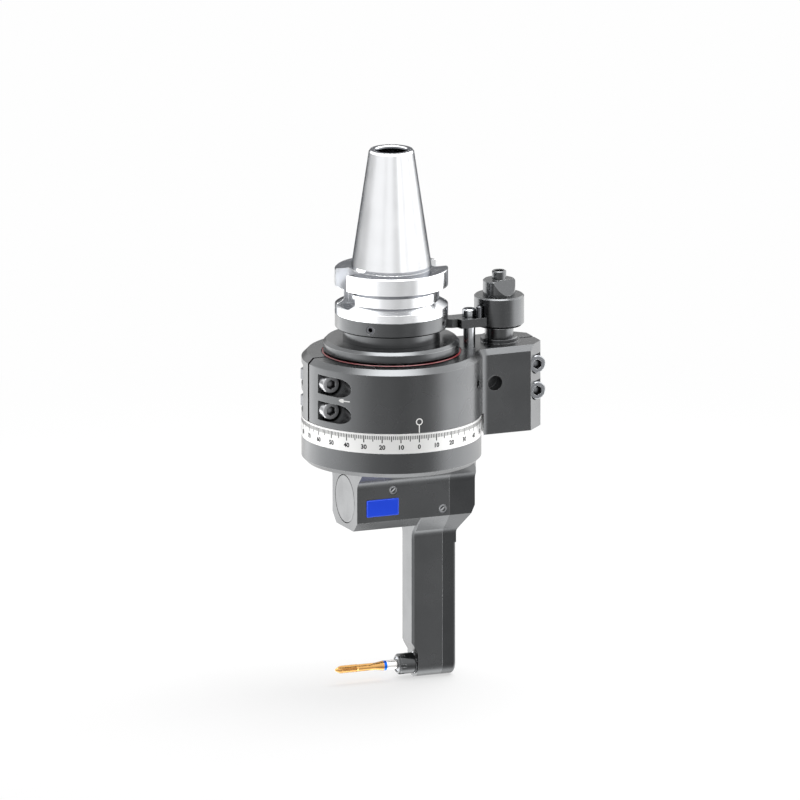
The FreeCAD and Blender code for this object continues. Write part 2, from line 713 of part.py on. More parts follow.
def bevel_top(body):
    """Bevel along the round front, the block's long sides and their blends."""
    edges = []
    for e in body.Edges:
        box_e = e.BoundBox
        flat_top = abs(box_e.ZMin - CLAMP_TOP) < 1e-6 and abs(box_e.ZMax - CLAMP_TOP) < 1e-6
        at_end = box_e.XMin > BLOCK_END - BLOCK_CORNER - 1e-3
        if flat_top and not at_end:
            edges.append(e)
    return body.makeChamfer(CLAMP_CHAMFER, edges)


def screw_pockets(x, seat_y, outer_y, open_x, z):
    """Hole of one screw along Y and the seats of its head and nut, open towards open_x."""
    cuts = [rod_y(M6_R + SCREW_ROOM / 2, -outer_y, outer_y, x, z)]
    left, right = sorted((x, open_x))
    for side, r in ((-1, HEAD_POCKET_R), (1, NUT_POCKET_R)):
        near, far = sorted((side * seat_y, side * outer_y))
        cuts.append(rod_y(r, near, far, x, z))
        cuts.append(box((left, near, z - r), (right, far, z + r)))
    return cuts


def ring_screw_hole():
    inner = polar(BODY_NECK_R - 1, RING_SCREW_AZ, RING_SCREW_Z)
    outer = polar(BODY_R + 1, RING_SCREW_AZ, RING_SCREW_Z)
    return Part.makeCylinder(SET_SCREW_R, (outer - inner).Length, inner, outer - inner)


def ring_set_screw():
    seat = polar(BODY_NECK_R + RUN + APART, RING_SCREW_AZ, RING_SCREW_Z)
    return set_screw(seat, polar(1, RING_SCREW_AZ, 0), RING_WALL - 2)


def screws_across(x, seat_y):
    """Two socket head screws along Y, heads at the front."""
    length = 2 * seat_y + M6_NUT_H + 0.5
    return [cap_screw(V(x, -seat_y, z), V(0, -1, 0), length) for z in CLAMP_SCREW_ZS]


def nuts_across(x, seat_y):
    """Two hexagon nuts at the back of the same screws."""
    nuts = []
    for z in CLAMP_SCREW_ZS:
        nut = hexagon(M6_NUT_R, V(x, seat_y, z), V(0, 1, 0), M6_NUT_H)
        nuts.append(nut.cut(rod_y(M6_R + SEAT, seat_y - 1, seat_y + M6_NUT_H + 1, x, z)))
    return nuts


def guide_post():
    low = CLAMP_TOP - POST_SEAT_DEPTH + APART
    head = LEVER_TOP + APART / 2
    c = 0.6
    return turned_z([
        (0, low), (POST_R, low), (POST_R, head), (POST_HEAD_R, head),
        (POST_HEAD_R, head + POST_HEAD_H - c), (POST_HEAD_R - c, head + POST_HEAD_H),
        (0, head + POST_HEAD_H),
    ], POST_X)


def pin_bush():
    top = CLAMP_TOP + BUSH_COLLAR_H
    return turned_z([
        (PIN_STEM_R + RUN, top), (BUSH_R - 2, top), (BUSH_R - 1.5, top - 0.5),
        (BUSH_R - 1.5, CLAMP_TOP), (BUSH_R, CLAMP_TOP), (BUSH_R, BUSH_BOTTOM),
        (COOLANT_R, BUSH_BOTTOM), (COOLANT_R, BUSH_BOTTOM + BUSH_FLOOR),
        (PIN_STEM_R + RUN, BUSH_BOTTOM + BUSH_FLOOR),
    ], PIN_X)


def pin_spring():
    """Square-wire die spring between the bush's floor and the pin's stem."""
    half = SPRING_WIRE / 2
    low = BUSH_BOTTOM + BUSH_FLOOR + half
    high = PIN_STEM_BOTTOM - half
    radius = PIN_STEM_R - 2 * SPRING_WIRE
    helix = Part.makeHelix((high - low) / SPRING_TURNS, high - low, radius)
    square = [V(radius - half, 0, -half), V(radius + half, 0, -half), V(radius + half, 0, half),
              V(radius - half, 0, half)]
    section = Part.makePolygon(square + square[:1])
    coil = Part.Wire(helix).makePipeShell([section], True, True)
    coil.translate(V(PIN_X, 0, low))
    return coil.common(cylinder(PIN_STEM_R, low - half, high + half, PIN_X))


# Locating pin, which is pressed down by the stop block

def pin_core():
    top = SLEEVE_TOP + PIN_HEAD_H
    core = turned_z([
        (0, PIN_STEM_BOTTOM), (PIN_STEM_R - 0.8, PIN_STEM_BOTTOM), (PIN_STEM_R, PIN_STEM_BOTTOM + 0.8),
        (PIN_STEM_R, SLEEVE_TOP), (PIN_HEAD_R, SLEEVE_TOP), (PIN_HEAD_R, top - 0.6),
        (PIN_HEAD_R - 0.6, top), (PIN_NUB_R, top), (PIN_NUB_R, top + PIN_NUB_H - 0.5),
        (PIN_NUB_R - 0.5, top + PIN_NUB_H), (PIN_NUB_BORE, top + PIN_NUB_H),
        (PIN_NUB_BORE, top + 1), (0, top + 1),
    ], PIN_X)
    return core.cut(head_flat(top)).cut(nub_slot(top + PIN_NUB_H))


def head_flat(top):
    """Sloped flat on the pin's head that the stop block wedges against."""
    lean = 4.6
    flat = prism([V(0, PIN_HEAD_R - lean, top + 0.1), V(0, PIN_HEAD_R + 2, top + 0.1),
                  V(0, PIN_HEAD_R + 2, SLEEVE_TOP + 0.6), V(0, PIN_HEAD_R - 0.1, SLEEVE_TOP + 0.6)],
                 4 * PIN_HEAD_R, V(1, 0, 0))
    flat.translate(V(-2 * PIN_HEAD_R, 0, 0))
    flat.rotate(V(0, 0, 0), V(0, 0, 1), 195)
    flat.translate(V(PIN_X, 0, 0))
    return flat


def nub_slot(top):
    """Screwdriver slot across the nub."""
    return box((PIN_X - PIN_NUB_R - 1, -0.8, top - 1.4), (PIN_X + PIN_NUB_R + 1, 0.8, top + 1))


def pin_sleeve():
    c = 0.7
    low, high = SLEEVE_BOTTOM, SLEEVE_TOP
    return turned_z([
        (PIN_STEM_R + SEAT, low), (SLEEVE_R - 1.4, low), (SLEEVE_R, low + 1.4),
        (SLEEVE_R, high - c), (SLEEVE_R - c, high), (PIN_STEM_R + SEAT, high),
    ], PIN_X)


def retaining_ring():
    outer = PIN_STEM_R + RETAINING_W
    return ring(PIN_STEM_R + SEAT, outer, SLEEVE_BOTTOM - RETAINING_H, SLEEVE_BOTTOM, PIN_X)


def lock_lever():
    """Flat lever from the sleeve to the lock ring, guided by the post."""
    tip, low = LEVER_TIP_X, LEVER_BOTTOM
    half_tip = NOTCH_W / 2 - 2 * APART
    bar = tip + LEVER_NOSE_L
    plate = prism([
        V(tip, -half_tip, low), V(tip + LEVER_NOSE_L / 2, -LEVER_NOSE_Y, low),
        V(bar, -LEVER_NOSE_Y, low), V(bar + 1, -LEVER_BAR_Y, low),
        V(PIN_X, -LEVER_BAR_Y, low), V(PIN_X, LEVER_BACK_Y, low),
        V(tip + LEVER_NOSE_L / 2, LEVER_BACK_Y, low), V(tip, half_tip, low),
    ], LEVER_H, V(0, 0, 1))
    plate = plate.cut(cylinder(SLEEVE_R + SEAT, low - 1, LEVER_TOP + 1, PIN_X))
    plate = plate.cut(cylinder(POST_R + RUN, low - 1, LEVER_TOP + 1, POST_X))
    return plate.cut(cylinder(DOWEL_R + SEAT, LEVER_TOP - DOWEL_SEAT, LEVER_TOP + 1, DOWEL_X, DOWEL_Y))


def lever_dowel():
    top = LEVER_TOP + DOWEL_H
    low = LEVER_TOP - DOWEL_SEAT
    return turned_z([(0, low), (DOWEL_R, low), (DOWEL_R, top - 0.4), (DOWEL_R - 0.4, top), (0, top)],
                    DOWEL_X, DOWEL_Y)


# Gear case, its cover and the arm

def case_outer():
    """Block, shoulder and arm as one casting, before it is hollowed and split."""
    y, b, f = CASE_Y, CASE_BEVEL, CASE_FLARE
    section = [
        V(CASE_LEFT, -y + b, CASE_BOTTOM), V(CASE_LEFT, y - b, CASE_BOTTOM),
        V(CASE_LEFT, y, CASE_BOTTOM + b), V(CASE_LEFT, y, BODY_BOTTOM - f),
        V(CASE_LEFT, y + f, BODY_BOTTOM), V(CASE_LEFT, -y - f, BODY_BOTTOM),
        V(CASE_LEFT, -y, BODY_BOTTOM - f), V(CASE_LEFT, -y, CASE_BOTTOM + b),
    ]
    block = prism(section, CASE_RIGHT - CASE_LEFT, V(1, 0, 0))
    root = [e for e in block.Edges if e.BoundBox.XLength > 1 and e.BoundBox.YLength < 1e-6
            and abs(e.CenterOfMass.z - BODY_BOTTOM + f) < 1e-6]
    block = block.makeFillet(CASE_FILLET, root)
    block = block.common(cylinder(CASE_TRIM_R, CASE_BOTTOM - 1, BODY_BOTTOM))
    return block.cut(right_of_slope()).fuse(arm()).removeSplitter()


def right_of_slope():
    """All that lies to the right of the shoulder's slope and of the arm."""
    foot = OUTPUT_Z - ARM_Y - 1
    points = [V(CASE_RIGHT, -CASE_Y - 1, SHOULDER_Z), V(ARM_RIGHT, -CASE_Y - 1, ARM_TOP),
              V(ARM_RIGHT, -CASE_Y - 1, foot), V(CASE_RIGHT + 5, -CASE_Y - 1, foot),
              V(CASE_RIGHT + 5, -CASE_Y - 1, SHOULDER_Z)]
    return prism(points, 2 * CASE_Y + 2, V(0, 1, 0))


def arm():
    """Arm and shoulder: the blade is round about the output axis and the shoulder widens it up to the case."""
    top = CASE_BOTTOM + CASE_BEVEL
    blade = box((ARM_LEFT, -ARM_Y, OUTPUT_Z), (ARM_RIGHT, ARM_Y, top))
    blade = blade.fuse(rod_x(ARM_Y, ARM_LEFT, ARM_RIGHT, OUTPUT_Z)).removeSplitter()
    blade = blade.makeFillet(ARM_END_FILLET, end_edges(blade, ARM_RIGHT, top))
    blade = blade.makeChamfer(ARM_EDGE, end_edges(blade, ARM_LEFT, top))
    body = blade.fuse(shoulder(top)).removeSplitter()
    step = prism([V(ARM_LEFT - 1, -ARM_Y - 1, NOSE_STEP_TOP), V(ARM_LEFT, -ARM_Y - 1, NOSE_STEP_TOP),
                  V(NOSE_STEP_X, -ARM_Y - 1, NOSE_STEP_TOP - NOSE_SLOPE),
                  V(NOSE_STEP_X, -ARM_Y - 1, OUTPUT_Z - ARM_Y - 1),
                  V(ARM_LEFT - 1, -ARM_Y - 1, OUTPUT_Z - ARM_Y - 1)], 2 * ARM_Y + 2, V(0, 1, 0))
    return body.cut(step)


def end_edges(blade, x, top):
    """Outline of the blade's end face at x, without the edge hidden in the case."""
    return [e for e in blade.Edges if abs(e.BoundBox.XMin - x) < 1e-6 and e.BoundBox.XLength < 1e-6
            and e.CenterOfMass.z < top - 1e-6]


def shoulder(top):
    """Sloping part between case and blade, with a hollow fillet where it meets the blade."""
    x, low = ARM_LEFT, ARM_TOP - CASE_FILLET
    body = prism([
        V(x, -CASE_Y, top), V(x, -ARM_Y, ARM_TOP), V(x, -ARM_Y, low),
        V(x, ARM_Y, low), V(x, ARM_Y, ARM_TOP), V(x, CASE_Y, top),
    ], CASE_RIGHT - ARM_LEFT, V(1, 0, 0))
    crease = [e for e in body.Edges if e.BoundBox.XLength > 1 and abs(e.CenterOfMass.z - ARM_TOP) < 1e-6]
    body = body.makeFillet(CASE_FILLET, crease).cut(right_of_slope())
    left_edges = [e for e in body.Edges if is_upright(e) and abs(e.CenterOfMass.x - ARM_LEFT) < 1e-6]
    return body.makeChamfer(ARM_EDGE, left_edges)


def is_upright(edge):
    size = edge.BoundBox
    return size.XLength < 1e-6 and size.YLength < 1e-6


def case_hollow():
    """Gear chamber, shaft bores and bearing seats, cut from both halves of the case."""
    x = ARM_SHAFT_X
    tail = CAVITY_BOTTOM - APART - DRIVE_TAIL_B
    return [
        cylinder(CAVITY_R, CAVITY_BOTTOM, CAVITY_TOP),
        cylinder(CAVITY_R, CAVITY_BOTTOM, CAVITY_TOP, x),
        cylinder(DRIVE_SHAFT_R + 2, CAVITY_TOP - 1, BODY_BOTTOM + 1),
        cylinder(DRIVE_TAIL_OUTER_R + SEAT, tail, CAVITY_BOTTOM + 1),
        cylinder(ARM_BORE_R + SEAT, CAVITY_TOP - 1, CAVITY_TOP + SMALL_B, x),
        cylinder(ARM_BORE_R + SEAT, OUTPUT_Z, CAVITY_BOTTOM + 1, x),
        rod_x(ARM_BORE_R + SEAT, NOSE_STEP_X - 1, REAR_BEARING_X, OUTPUT_Z),
        rod_x(rear_bearing_r() + SEAT, REAR_BEARING_X - 1, REAR_BEARING_X + SMALL_B, OUTPUT_Z),
        rod_x(CAP_R - 1.5, CASE_LEFT + 1, -CAVITY_R + 2, CAP_Z),
        rod_x(CAP_R + 0.1, CASE_LEFT - 1, CASE_LEFT + CAP_T, CAP_Z),
    ]


def plug_seats():
    return [rod_y(PLUG_R + SEAT, -CASE_Y - 1, -CASE_Y + PLUG_DEPTH, x, z) for x, z in (FILL_PLUG, DRAIN_PLUG)]


def cover_screw_places():
    """Screws through the cover into the case, above and below the gear chamber."""
    rows = (BODY_BOTTOM - CASE_FLARE + 0.7, SHOULDER_Z - 1.8)
    return [(side * COVER_SCREW_Y, z) for side in (-1, 1) for z in rows]


def cover_screw_holes():
    cuts = []
    for y, z in cover_screw_places():
        cuts.append(rod_x(COVER_SCREW_R + SCREW_ROOM / 2, CASE_SEAM - 7, CASE_RIGHT + 1, z, y))
        cuts.append(rod_x(cover_head_r() + SCREW_ROOM, cover_head_x(), CASE_RIGHT + 1, z, y))
    return cuts


def cover_head_r():
    return COVER_SCREW_R * 7 / 4


def cover_head_x():
    """Where the heads seat, sunk in the cover's end."""
    return CASE_RIGHT - 2 * COVER_SCREW_R - 1.4


def cover_screws():
    screws = []
    for y, z in cover_screw_places():
        seat = V(cover_head_x(), y, z)
        length = seat.x - CASE_SEAM + 6
        screws.append(cap_screw(seat, V(1, 0, 0), length, COVER_SCREW_R, cover_head_r(),
                                2 * COVER_SCREW_R, COVER_SCREW_R * 3 / 4))
    return screws


def case_halves():
    """The case left of the seam, and the cover right of it."""
    whole = case_outer().cut(case_hollow()).cut(plug_seats()).cut(cover_screw_holes())
    reach = BODY_R
    low, high = OUTPUT_Z - 2 * ARM_Y, BODY_BOTTOM + 1
    left = box((CASE_LEFT - 1, -reach, low), (CASE_SEAM, reach, high))
    right = box((CASE_SEAM, -reach, low), (CASE_RIGHT + 1, reach, high))
    return whole.common(left), whole.common(right)


def bearing_cap():
    c = 0.5
    return turned_x([(0, CASE_LEFT), (CAP_R - c, CASE_LEFT), (CAP_R, CASE_LEFT + c),
                     (CAP_R, CASE_LEFT + CAP_T), (0, CASE_LEFT + CAP_T)], CAP_Z)


def oil_plugs():
    """Slotted plugs, just below the case's face."""
    plugs = []
    for x, z in (FILL_PLUG, DRAIN_PLUG):
        face, foot = -CASE_Y + PLUG_SUNK, -CASE_Y + PLUG_DEPTH
        plug = rod_y(PLUG_R - SEAT, face, foot, x, z)
        slot = box((-PLUG_R, face - 1, -PLUG_R * 0.16), (PLUG_R, face + PLUG_DEPTH * 0.3, PLUG_R * 0.16))
        slot.rotate(V(0, 0, 0), V(0, 1, 0), -40)
        slot.translate(V(x, 0, z))
        plugs.append(plug.cut(slot))
    return plugs


def small_bearing(shaft_r, outer_r, low, width, inner):
    """One race of a shielded bearing about +Z; the outer race carries the shields."""
    step = (outer_r - shaft_r) * 0.3
    if inner:
        return ring(shaft_r + SEAT, shaft_r + step, low, low + width)
    gap = shaft_r + step + 0.15
    lip = width * 0.18
    return turned_z([
        (gap, low), (outer_r, low), (outer_r, low + width), (gap, low + width),
        (gap, low + width - lip), (outer_r - step, low + width - lip),
        (outer_r - step, low + lip), (gap, low + lip),
    ])


def placed(shape, x, z=0.0, lying=False):
    """Copy of an upright shape moved to x, or laid along X with its foot at x."""
    copy = shape.copy()
    if lying:
        copy.rotate(V(0, 0, 0), V(0, 1, 0), 90)
    copy.translate(V(x, 0, z))
    return copy


def rear_bearing_r():
    return ARM_BORE_R - 0.5


def arm_bearing_heights():
    """Bottom faces of the three bearings on the arm shaft."""
    return [CAVITY_TOP, CAVITY_BOTTOM - APART - SMALL_B, PINION_TOP + 1.0]


def arm_bearings(inner):
    return [placed(small_bearing(ARM_SHAFT_R, ARM_BORE_R, z, SMALL_B, inner), ARM_SHAFT_X)
            for z in arm_bearing_heights()]


def tail_bearing(inner):
    low = CAVITY_BOTTOM - APART - DRIVE_TAIL_B
    return small_bearing(DRIVE_TAIL_R, DRIVE_TAIL_OUTER_R, low, DRIVE_TAIL_B, inner)


def spindle_bearings(inner):
    front = small_bearing(NOSE_BEARING_R, ARM_BORE_R, 0, NOSE_BEARING_B, inner)
    rear = small_bearing(REAR_BEARING_R, rear_bearing_r(), 0, SMALL_B, inner)
    return [placed(front, NOSE_BEARING_X, OUTPUT_Z, True), placed(rear, REAR_BEARING_X, OUTPUT_Z, True)]


def arm_shaft():
    foot = OUTPUT_Z + BEVEL_R * (1 - BEVEL_FACE / (BEVEL_R * math.sqrt(2))) + 0.1
    top = CAVITY_TOP + SMALL_B - APART
    return turned_z([
        (0, foot), (ARM_PINION_R, foot), (ARM_PINION_R, PINION_TOP), (ARM_SHAFT_R, PINION_TOP),
        (ARM_SHAFT_R, top), (0, top),
    ], ARM_SHAFT_X)


# Output spindle with its collet and tap

def spindle_r():
    """Radius of the spindle where it passes under the pinion."""
    return BEVEL_R * (1 - BEVEL_FACE / (BEVEL_R * math.sqrt(2))) - 0.5


def collet_x():
    """Left end of the collet, flush with the nut's face."""
    return NUT_FACE_X + 0.4


def output_spindle():
    left = NUT_FACE_X + NUT_LIP
    bearing_end = NOSE_BEARING_X + NOSE_BEARING_B
    r = spindle_r()
    outer = turned_x([
        (0, left), (THREAD_R, left), (THREAD_R, NUT_BACK_X + 0.2), (NOSE_BEARING_R, NUT_BACK_X + 0.2),
        (NOSE_BEARING_R, bearing_end), (r, bearing_end), (r, GEAR_BACK_X),
        (REAR_BEARING_R, GEAR_BACK_X), (REAR_BEARING_R, REAR_BEARING_X + SMALL_B - APART),
        (0, REAR_BEARING_X + SMALL_B - APART),
    ], OUTPUT_Z)
    start = collet_x()
    end = start + COLLET_L
    socket = turned_x([
        (0, start), (COLLET_R + SEAT, start), (COLLET_SMALL_R + SEAT, end), (0, end),
    ], OUTPUT_Z)
    return outer.cut(socket)


def collet():
    start = collet_x()
    end = start + COLLET_L - 0.3
    small = COLLET_R - (COLLET_R - COLLET_SMALL_R) * (end - start) / COLLET_L
    body = turned_x([
        (TAP_SHANK_R + SEAT, start), (COLLET_R, start), (small, end), (TAP_SHANK_R + SEAT, end),
    ], OUTPUT_Z)
    slots = []
    for i in range(4):
        slot = box((start + 1.5, -0.2, 0), (end + 1, 0.2, COLLET_R + 1))
        slot.rotate(V(0, 0, 0), V(1, 0, 0), 45 + 90 * i)
        slot.translate(V(0, 0, OUTPUT_Z))
        slots.append(slot)
    return body.cut(slots)


def collet_nut():
    c = 1.0
    nut = turned_x([
        (COLLET_R + 0.1, NUT_FACE_X), (NUT_R - c, NUT_FACE_X), (NUT_R, NUT_FACE_X + c),
        (NUT_R, NUT_BACK_X), (THREAD_R + SEAT, NUT_BACK_X), (THREAD_R + SEAT, NUT_FACE_X + NUT_LIP),
        (COLLET_R + 0.1, NUT_FACE_X + NUT_LIP),
    ], OUTPUT_Z)
    slots = []
    for i in range(NUT_SLOTS):
        slot = box((NUT_FACE_X - 1, -0.8, NUT_R - 0.75), (NUT_FACE_X + 3.6, 0.8, NUT_R + 1))
        slot.rotate(V(0, 0, 0), V(1, 0, 0), 360 * (i + 0.5) / NUT_SLOTS)
        slot.translate(V(0, 0, OUTPUT_Z))
        slots.append(slot)
    return nut.cut(slots)


def tap():
    """Spiral point tap: shank in the collet, cone, neck and fluted thread."""
    thread_end = TAP_TIP_X + TAP_THREAD_L
    cone_end = NUT_FACE_X - 8
    profile = [
        (0, TAP_TIP_X), (0.5, TAP_TIP_X), (TAP_THREAD_R, TAP_TIP_X + TAP_LEAD_L),
        (TAP_THREAD_R, thread_end),
        (TAP_NECK_R, thread_end + 1.5), (TAP_NECK_R, cone_end - 5), (TAP_SHANK_R, cone_end),
        (TAP_SHANK_R, collet_x() + COLLET_L - 0.5), (0, collet_x() + COLLET_L - 0.5),
    ]
    body = turned_x(profile, OUTPUT_Z)
    flutes = []
    for i in range(TAP_FLUTES):
        flute = rod_x(TAP_FLUTE_R, TAP_TIP_X - 1, thread_end + 5, TAP_THREAD_R)
        flute.rotate(V(0, 0, 0), V(1, 0, 0), 360 * i / TAP_FLUTES)
        flute.translate(V(0, 0, OUTPUT_Z))
        flutes.append(flute)
    return body.cut(flutes)


def export(name, shapes):
    """Writes one node, and says its count of solids and its volume."""
    if not isinstance(shapes, (list, tuple)):
        shapes = [shapes]
    solids = [solid for shape in shapes for solid in shape.Solids]
    assert solids and all(s.isValid() and s.Volume > 0 for s in solids), name
    Part.makeCompound(solids).exportStep("parts/" + name + ".step")
    print(f"{name:24s} {len(solids):3d} solids {sum(s.Volume for s in solids):10.1f} mm3")


def build():
    os.makedirs("parts", exist_ok=True)
    case, cover = case_halves()
    nodes = {
        "taper_shank": taper_shank(),
        "lock_ring": lock_ring(),
        "lock_ring_screws": lock_ring_screws(),
        "main_spindle": main_spindle(),
        "neck_spacer": neck_spacer(),
        "flinger": flinger(),
        "main_bearing_inner": main_bearing_races(True),
        "main_lock_nut": main_lock_nut(),
        "drive_shaft": drive_shaft(),
        "drive_gear": spur_gear(0, DRIVE_SHAFT_R, 0),
        "tail_bearing_inner": tail_bearing(True),
        "head_body": head_body(),
        "main_bearing_outer": main_bearing_races(False),
        "main_bearing_rollers": main_bearing_rollers(),
        "bearing_retainer": bearing_retainer(),
        "neck_seal": neck_seal(),
        "scale_ring": scale_ring(),
        "gear_case": case,
        "gear_case_cover": cover,
        "cover_screws": cover_screws(),
        "bearing_cap": bearing_cap(),
        "oil_plugs": oil_plugs(),
        "tail_bearing_outer": tail_bearing(False),
        "arm_bearing_outer": arm_bearings(False),
        "spindle_bearing_outer": spindle_bearings(False),
        "clamp_ring": clamp_ring(),
        "clamp_screws": screws_across(CLAMP_SCREW_X, CLAMP_SEAT_Y),
        "clamp_nuts": nuts_across(CLAMP_SCREW_X, CLAMP_SEAT_Y),
        "pin_clamp_screws": screws_across(PIN_SCREW_X, PIN_SCREW_SEAT_Y),
        "pin_clamp_nuts": nuts_across(PIN_SCREW_X, PIN_SCREW_SEAT_Y),
        "ring_set_screw": ring_set_screw(),
        "guide_post": guide_post(),
        "pin_bush": pin_bush(),
        "pin_spring": pin_spring(),
        "pin_core": pin_core(),
        "pin_sleeve": pin_sleeve(),
        "pin_retaining_ring": retaining_ring(),
        "lock_lever": lock_lever(),
        "lever_dowel": lever_dowel(),
        "arm_shaft": arm_shaft(),
        "arm_gear": spur_gear(ARM_SHAFT_X, ARM_SHAFT_R, 0.5),
        "arm_pinion": arm_pinion(),
        "arm_bearing_inner": arm_bearings(True),
        "output_spindle": output_spindle(),
        "output_gear": output_gear(),
        "spindle_bearing_inner": spindle_bearings(True),
        "collet": collet(),
        "collet_nut": collet_nut(),
        "tap": tap(),
    }
    for name, shapes in nodes.items():
        export(name, shapes)


build()
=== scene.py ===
# %% [markdown]
# This lesson dresses an angle head: a steep-taper shank that turns a cutter at right angles through a slim arm.
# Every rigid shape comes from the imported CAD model, so Blender's part is the finish of each piece, the
# engraving on the graduated ring, the marks, the threaded tap, and a plain studio. Nothing in the model is
# moved: each new piece is built where the model says, in metres, and rides on the body that carries it.

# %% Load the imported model
import json
import math

import bpy
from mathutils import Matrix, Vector


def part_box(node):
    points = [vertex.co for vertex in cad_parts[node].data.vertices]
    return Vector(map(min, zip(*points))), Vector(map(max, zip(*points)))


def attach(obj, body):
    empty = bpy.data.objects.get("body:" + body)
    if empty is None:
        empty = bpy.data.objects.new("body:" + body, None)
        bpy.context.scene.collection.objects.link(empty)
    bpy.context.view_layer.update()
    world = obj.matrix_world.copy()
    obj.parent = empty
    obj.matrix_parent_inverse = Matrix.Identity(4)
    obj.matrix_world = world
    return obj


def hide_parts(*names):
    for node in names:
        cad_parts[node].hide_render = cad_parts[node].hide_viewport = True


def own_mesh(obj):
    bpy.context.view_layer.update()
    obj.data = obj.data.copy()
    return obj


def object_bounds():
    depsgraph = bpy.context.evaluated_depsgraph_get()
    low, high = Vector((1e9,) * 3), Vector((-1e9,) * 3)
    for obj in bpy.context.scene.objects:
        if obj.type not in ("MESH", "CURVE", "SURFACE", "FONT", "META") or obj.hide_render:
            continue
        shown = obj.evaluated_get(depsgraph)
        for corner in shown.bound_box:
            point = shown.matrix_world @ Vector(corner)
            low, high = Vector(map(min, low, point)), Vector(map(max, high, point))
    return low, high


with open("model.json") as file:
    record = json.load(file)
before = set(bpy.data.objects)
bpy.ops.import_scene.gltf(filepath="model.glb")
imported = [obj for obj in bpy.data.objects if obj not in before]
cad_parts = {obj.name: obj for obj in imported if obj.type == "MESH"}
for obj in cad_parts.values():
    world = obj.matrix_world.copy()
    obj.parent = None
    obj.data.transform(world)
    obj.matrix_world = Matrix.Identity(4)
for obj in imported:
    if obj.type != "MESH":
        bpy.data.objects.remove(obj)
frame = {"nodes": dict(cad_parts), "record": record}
cad_low, cad_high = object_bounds()

# %% [markdown]
# The drawing sizes are in millimetres, and Blender works in metres. One constant turns one into the other.
# The graduated ring is the reference for everything that is engraved, so its box is read from the model.

# %% Sizes that several pieces share
MM = 0.001
ring_low, ring_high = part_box("scale_ring")
RING_RADIUS = ring_high.x
RING_TOP = ring_high.z
print("graduated ring: radius %.2f mm, height %.2f mm" % (RING_RADIUS / MM, (ring_high.z - ring_low.z) / MM))

# %% [markdown]
# Colours are written as the sRGB values that the eye sees, because those can be compared with a picture.
# The renderer adds light in linear values, so one function converts them.

# %% Colour conversion
def linear(code):
    """Linear RGBA of an sRGB colour written as six hexadecimal digits."""
    channels = [int(code[i:i + 2], 16) / 255 for i in (0, 2, 4)]
    return [c / 12.92 if c <= 0.04045 else ((c + 0.055) / 1.055) ** 2.4 for c in channels] + [1.0]


print("mid grey 808080 is %.3f in linear light" % linear("808080")[0])

# %% [markdown]
# A finish is a small network of nodes. One function adds a node, gives its settings and input values, and
# links other nodes' outputs to its inputs, so that each finish below reads like a recipe.

# %% One node with its settings and links
def add(tree, kind, values=None, links=None, **settings):
    """Adds a node: settings are its properties, values its input numbers, links its incoming sockets."""
    made = tree.nodes.new("ShaderNode" + kind)
    for name, value in settings.items():
        setattr(made, name, value)
    for name, value in (values or {}).items():
        made.inputs[name].default_value = value
    for name, socket in (links or {}).items():
        tree.links.new(socket, made.inputs[name])
    return made


def new_finish(name):
    """An empty material with its output node."""
    material = bpy.data.materials.new(name)
    material.use_nodes = True
    material.node_tree.nodes.clear()
    return material, material.node_tree, add(material.node_tree, "OutputMaterial")


# %% [markdown]
# Most of these pieces were turned or ground on a lathe, so their marks run in circles about an axis. In the
# coordinates distance from the axis and place along it, such a mark is constant round the piece. A noise
# that is read in those two coordinates gives rings on a flat face and bands on a round one, as a tool does.

# %% Coordinates about a turning axis
def lathe_coordinates(tree, axis, centre):
    """Vector (distance from the axis, place along the axis, 0) in metres."""
    place = add(tree, "TexCoord").outputs["Object"]
    moved = add(tree, "VectorMath", {1: centre}, {0: place}, operation="SUBTRACT").outputs[0]
    across = add(tree, "VectorMath", {1: [1.0 - a for a in axis]}, {0: moved}, operation="MULTIPLY").outputs[0]
    radius = add(tree, "VectorMath", links={0: across}, operation="LENGTH").outputs["Value"]
    along = add(tree, "VectorMath", {1: axis}, {0: moved}, operation="DOT_PRODUCT").outputs["Value"]
    return add(tree, "CombineXYZ", links={"X": radius, "Y": along}).outputs[0]


SPINDLE_AXIS = ((0, 0, 1), (0, 0, 0))
PIN_AXIS = ((0, 0, 1), (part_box("pin_core")[0].x / 2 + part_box("pin_core")[1].x / 2, 0, 0))
OUTPUT_HEIGHT = (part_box("collet")[0].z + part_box("collet")[1].z) / 2
OUTPUT_AXIS = ((1, 0, 0), (0, 0, OUTPUT_HEIGHT))
print("pin at x %.1f mm, output axis at z %.1f mm" % (PIN_AXIS[1][0] / MM, OUTPUT_HEIGHT / MM))

# %% [markdown]
# A machined edge is never perfectly sharp: a file or a brush breaks it, and a thin line of light shows there.
# The Bevel node rounds the normal near an edge without changing the mesh. Comparing that normal with the
# true one finds the edges, where handling has also polished the dark finish a little lighter.

# %% Broken edges
EDGE_RADIUS = 0.28 * MM


def edge_wear(tree):
    """Rounded normal, and a mask that is 1 on edges and 0 on faces."""
    rounded = add(tree, "Bevel", {"Radius": EDGE_RADIUS}, samples=4).outputs[0]
    face = add(tree, "NewGeometry").outputs["Normal"]
    same = add(tree, "VectorMath", links={0: rounded, 1: face}, operation="DOT_PRODUCT").outputs["Value"]
    mask = add(tree, "MapRange", {"From Min": 0.995, "From Max": 0.90}, {"Value": same}).outputs["Result"]
    return rounded, mask


# %% [markdown]
# Turned metal shares one recipe: lathe marks that shift the colour a little, roughen it and stand up as a fine
# bump, and broken edges. The real marks are about 0.05 mm apart, too fine for this picture, so they are
# drawn 0.5 mm apart. A metal's colour is its reflection, so the shader is fully metallic and keeps the default
# IOR. Only a metal under a clear layer, such as anodised aluminium, gets a lower metallic value.

# %% Turned and ground metal
MARK_SPACING = 0.5 * MM
PATCH_SIZE = 14 * MM


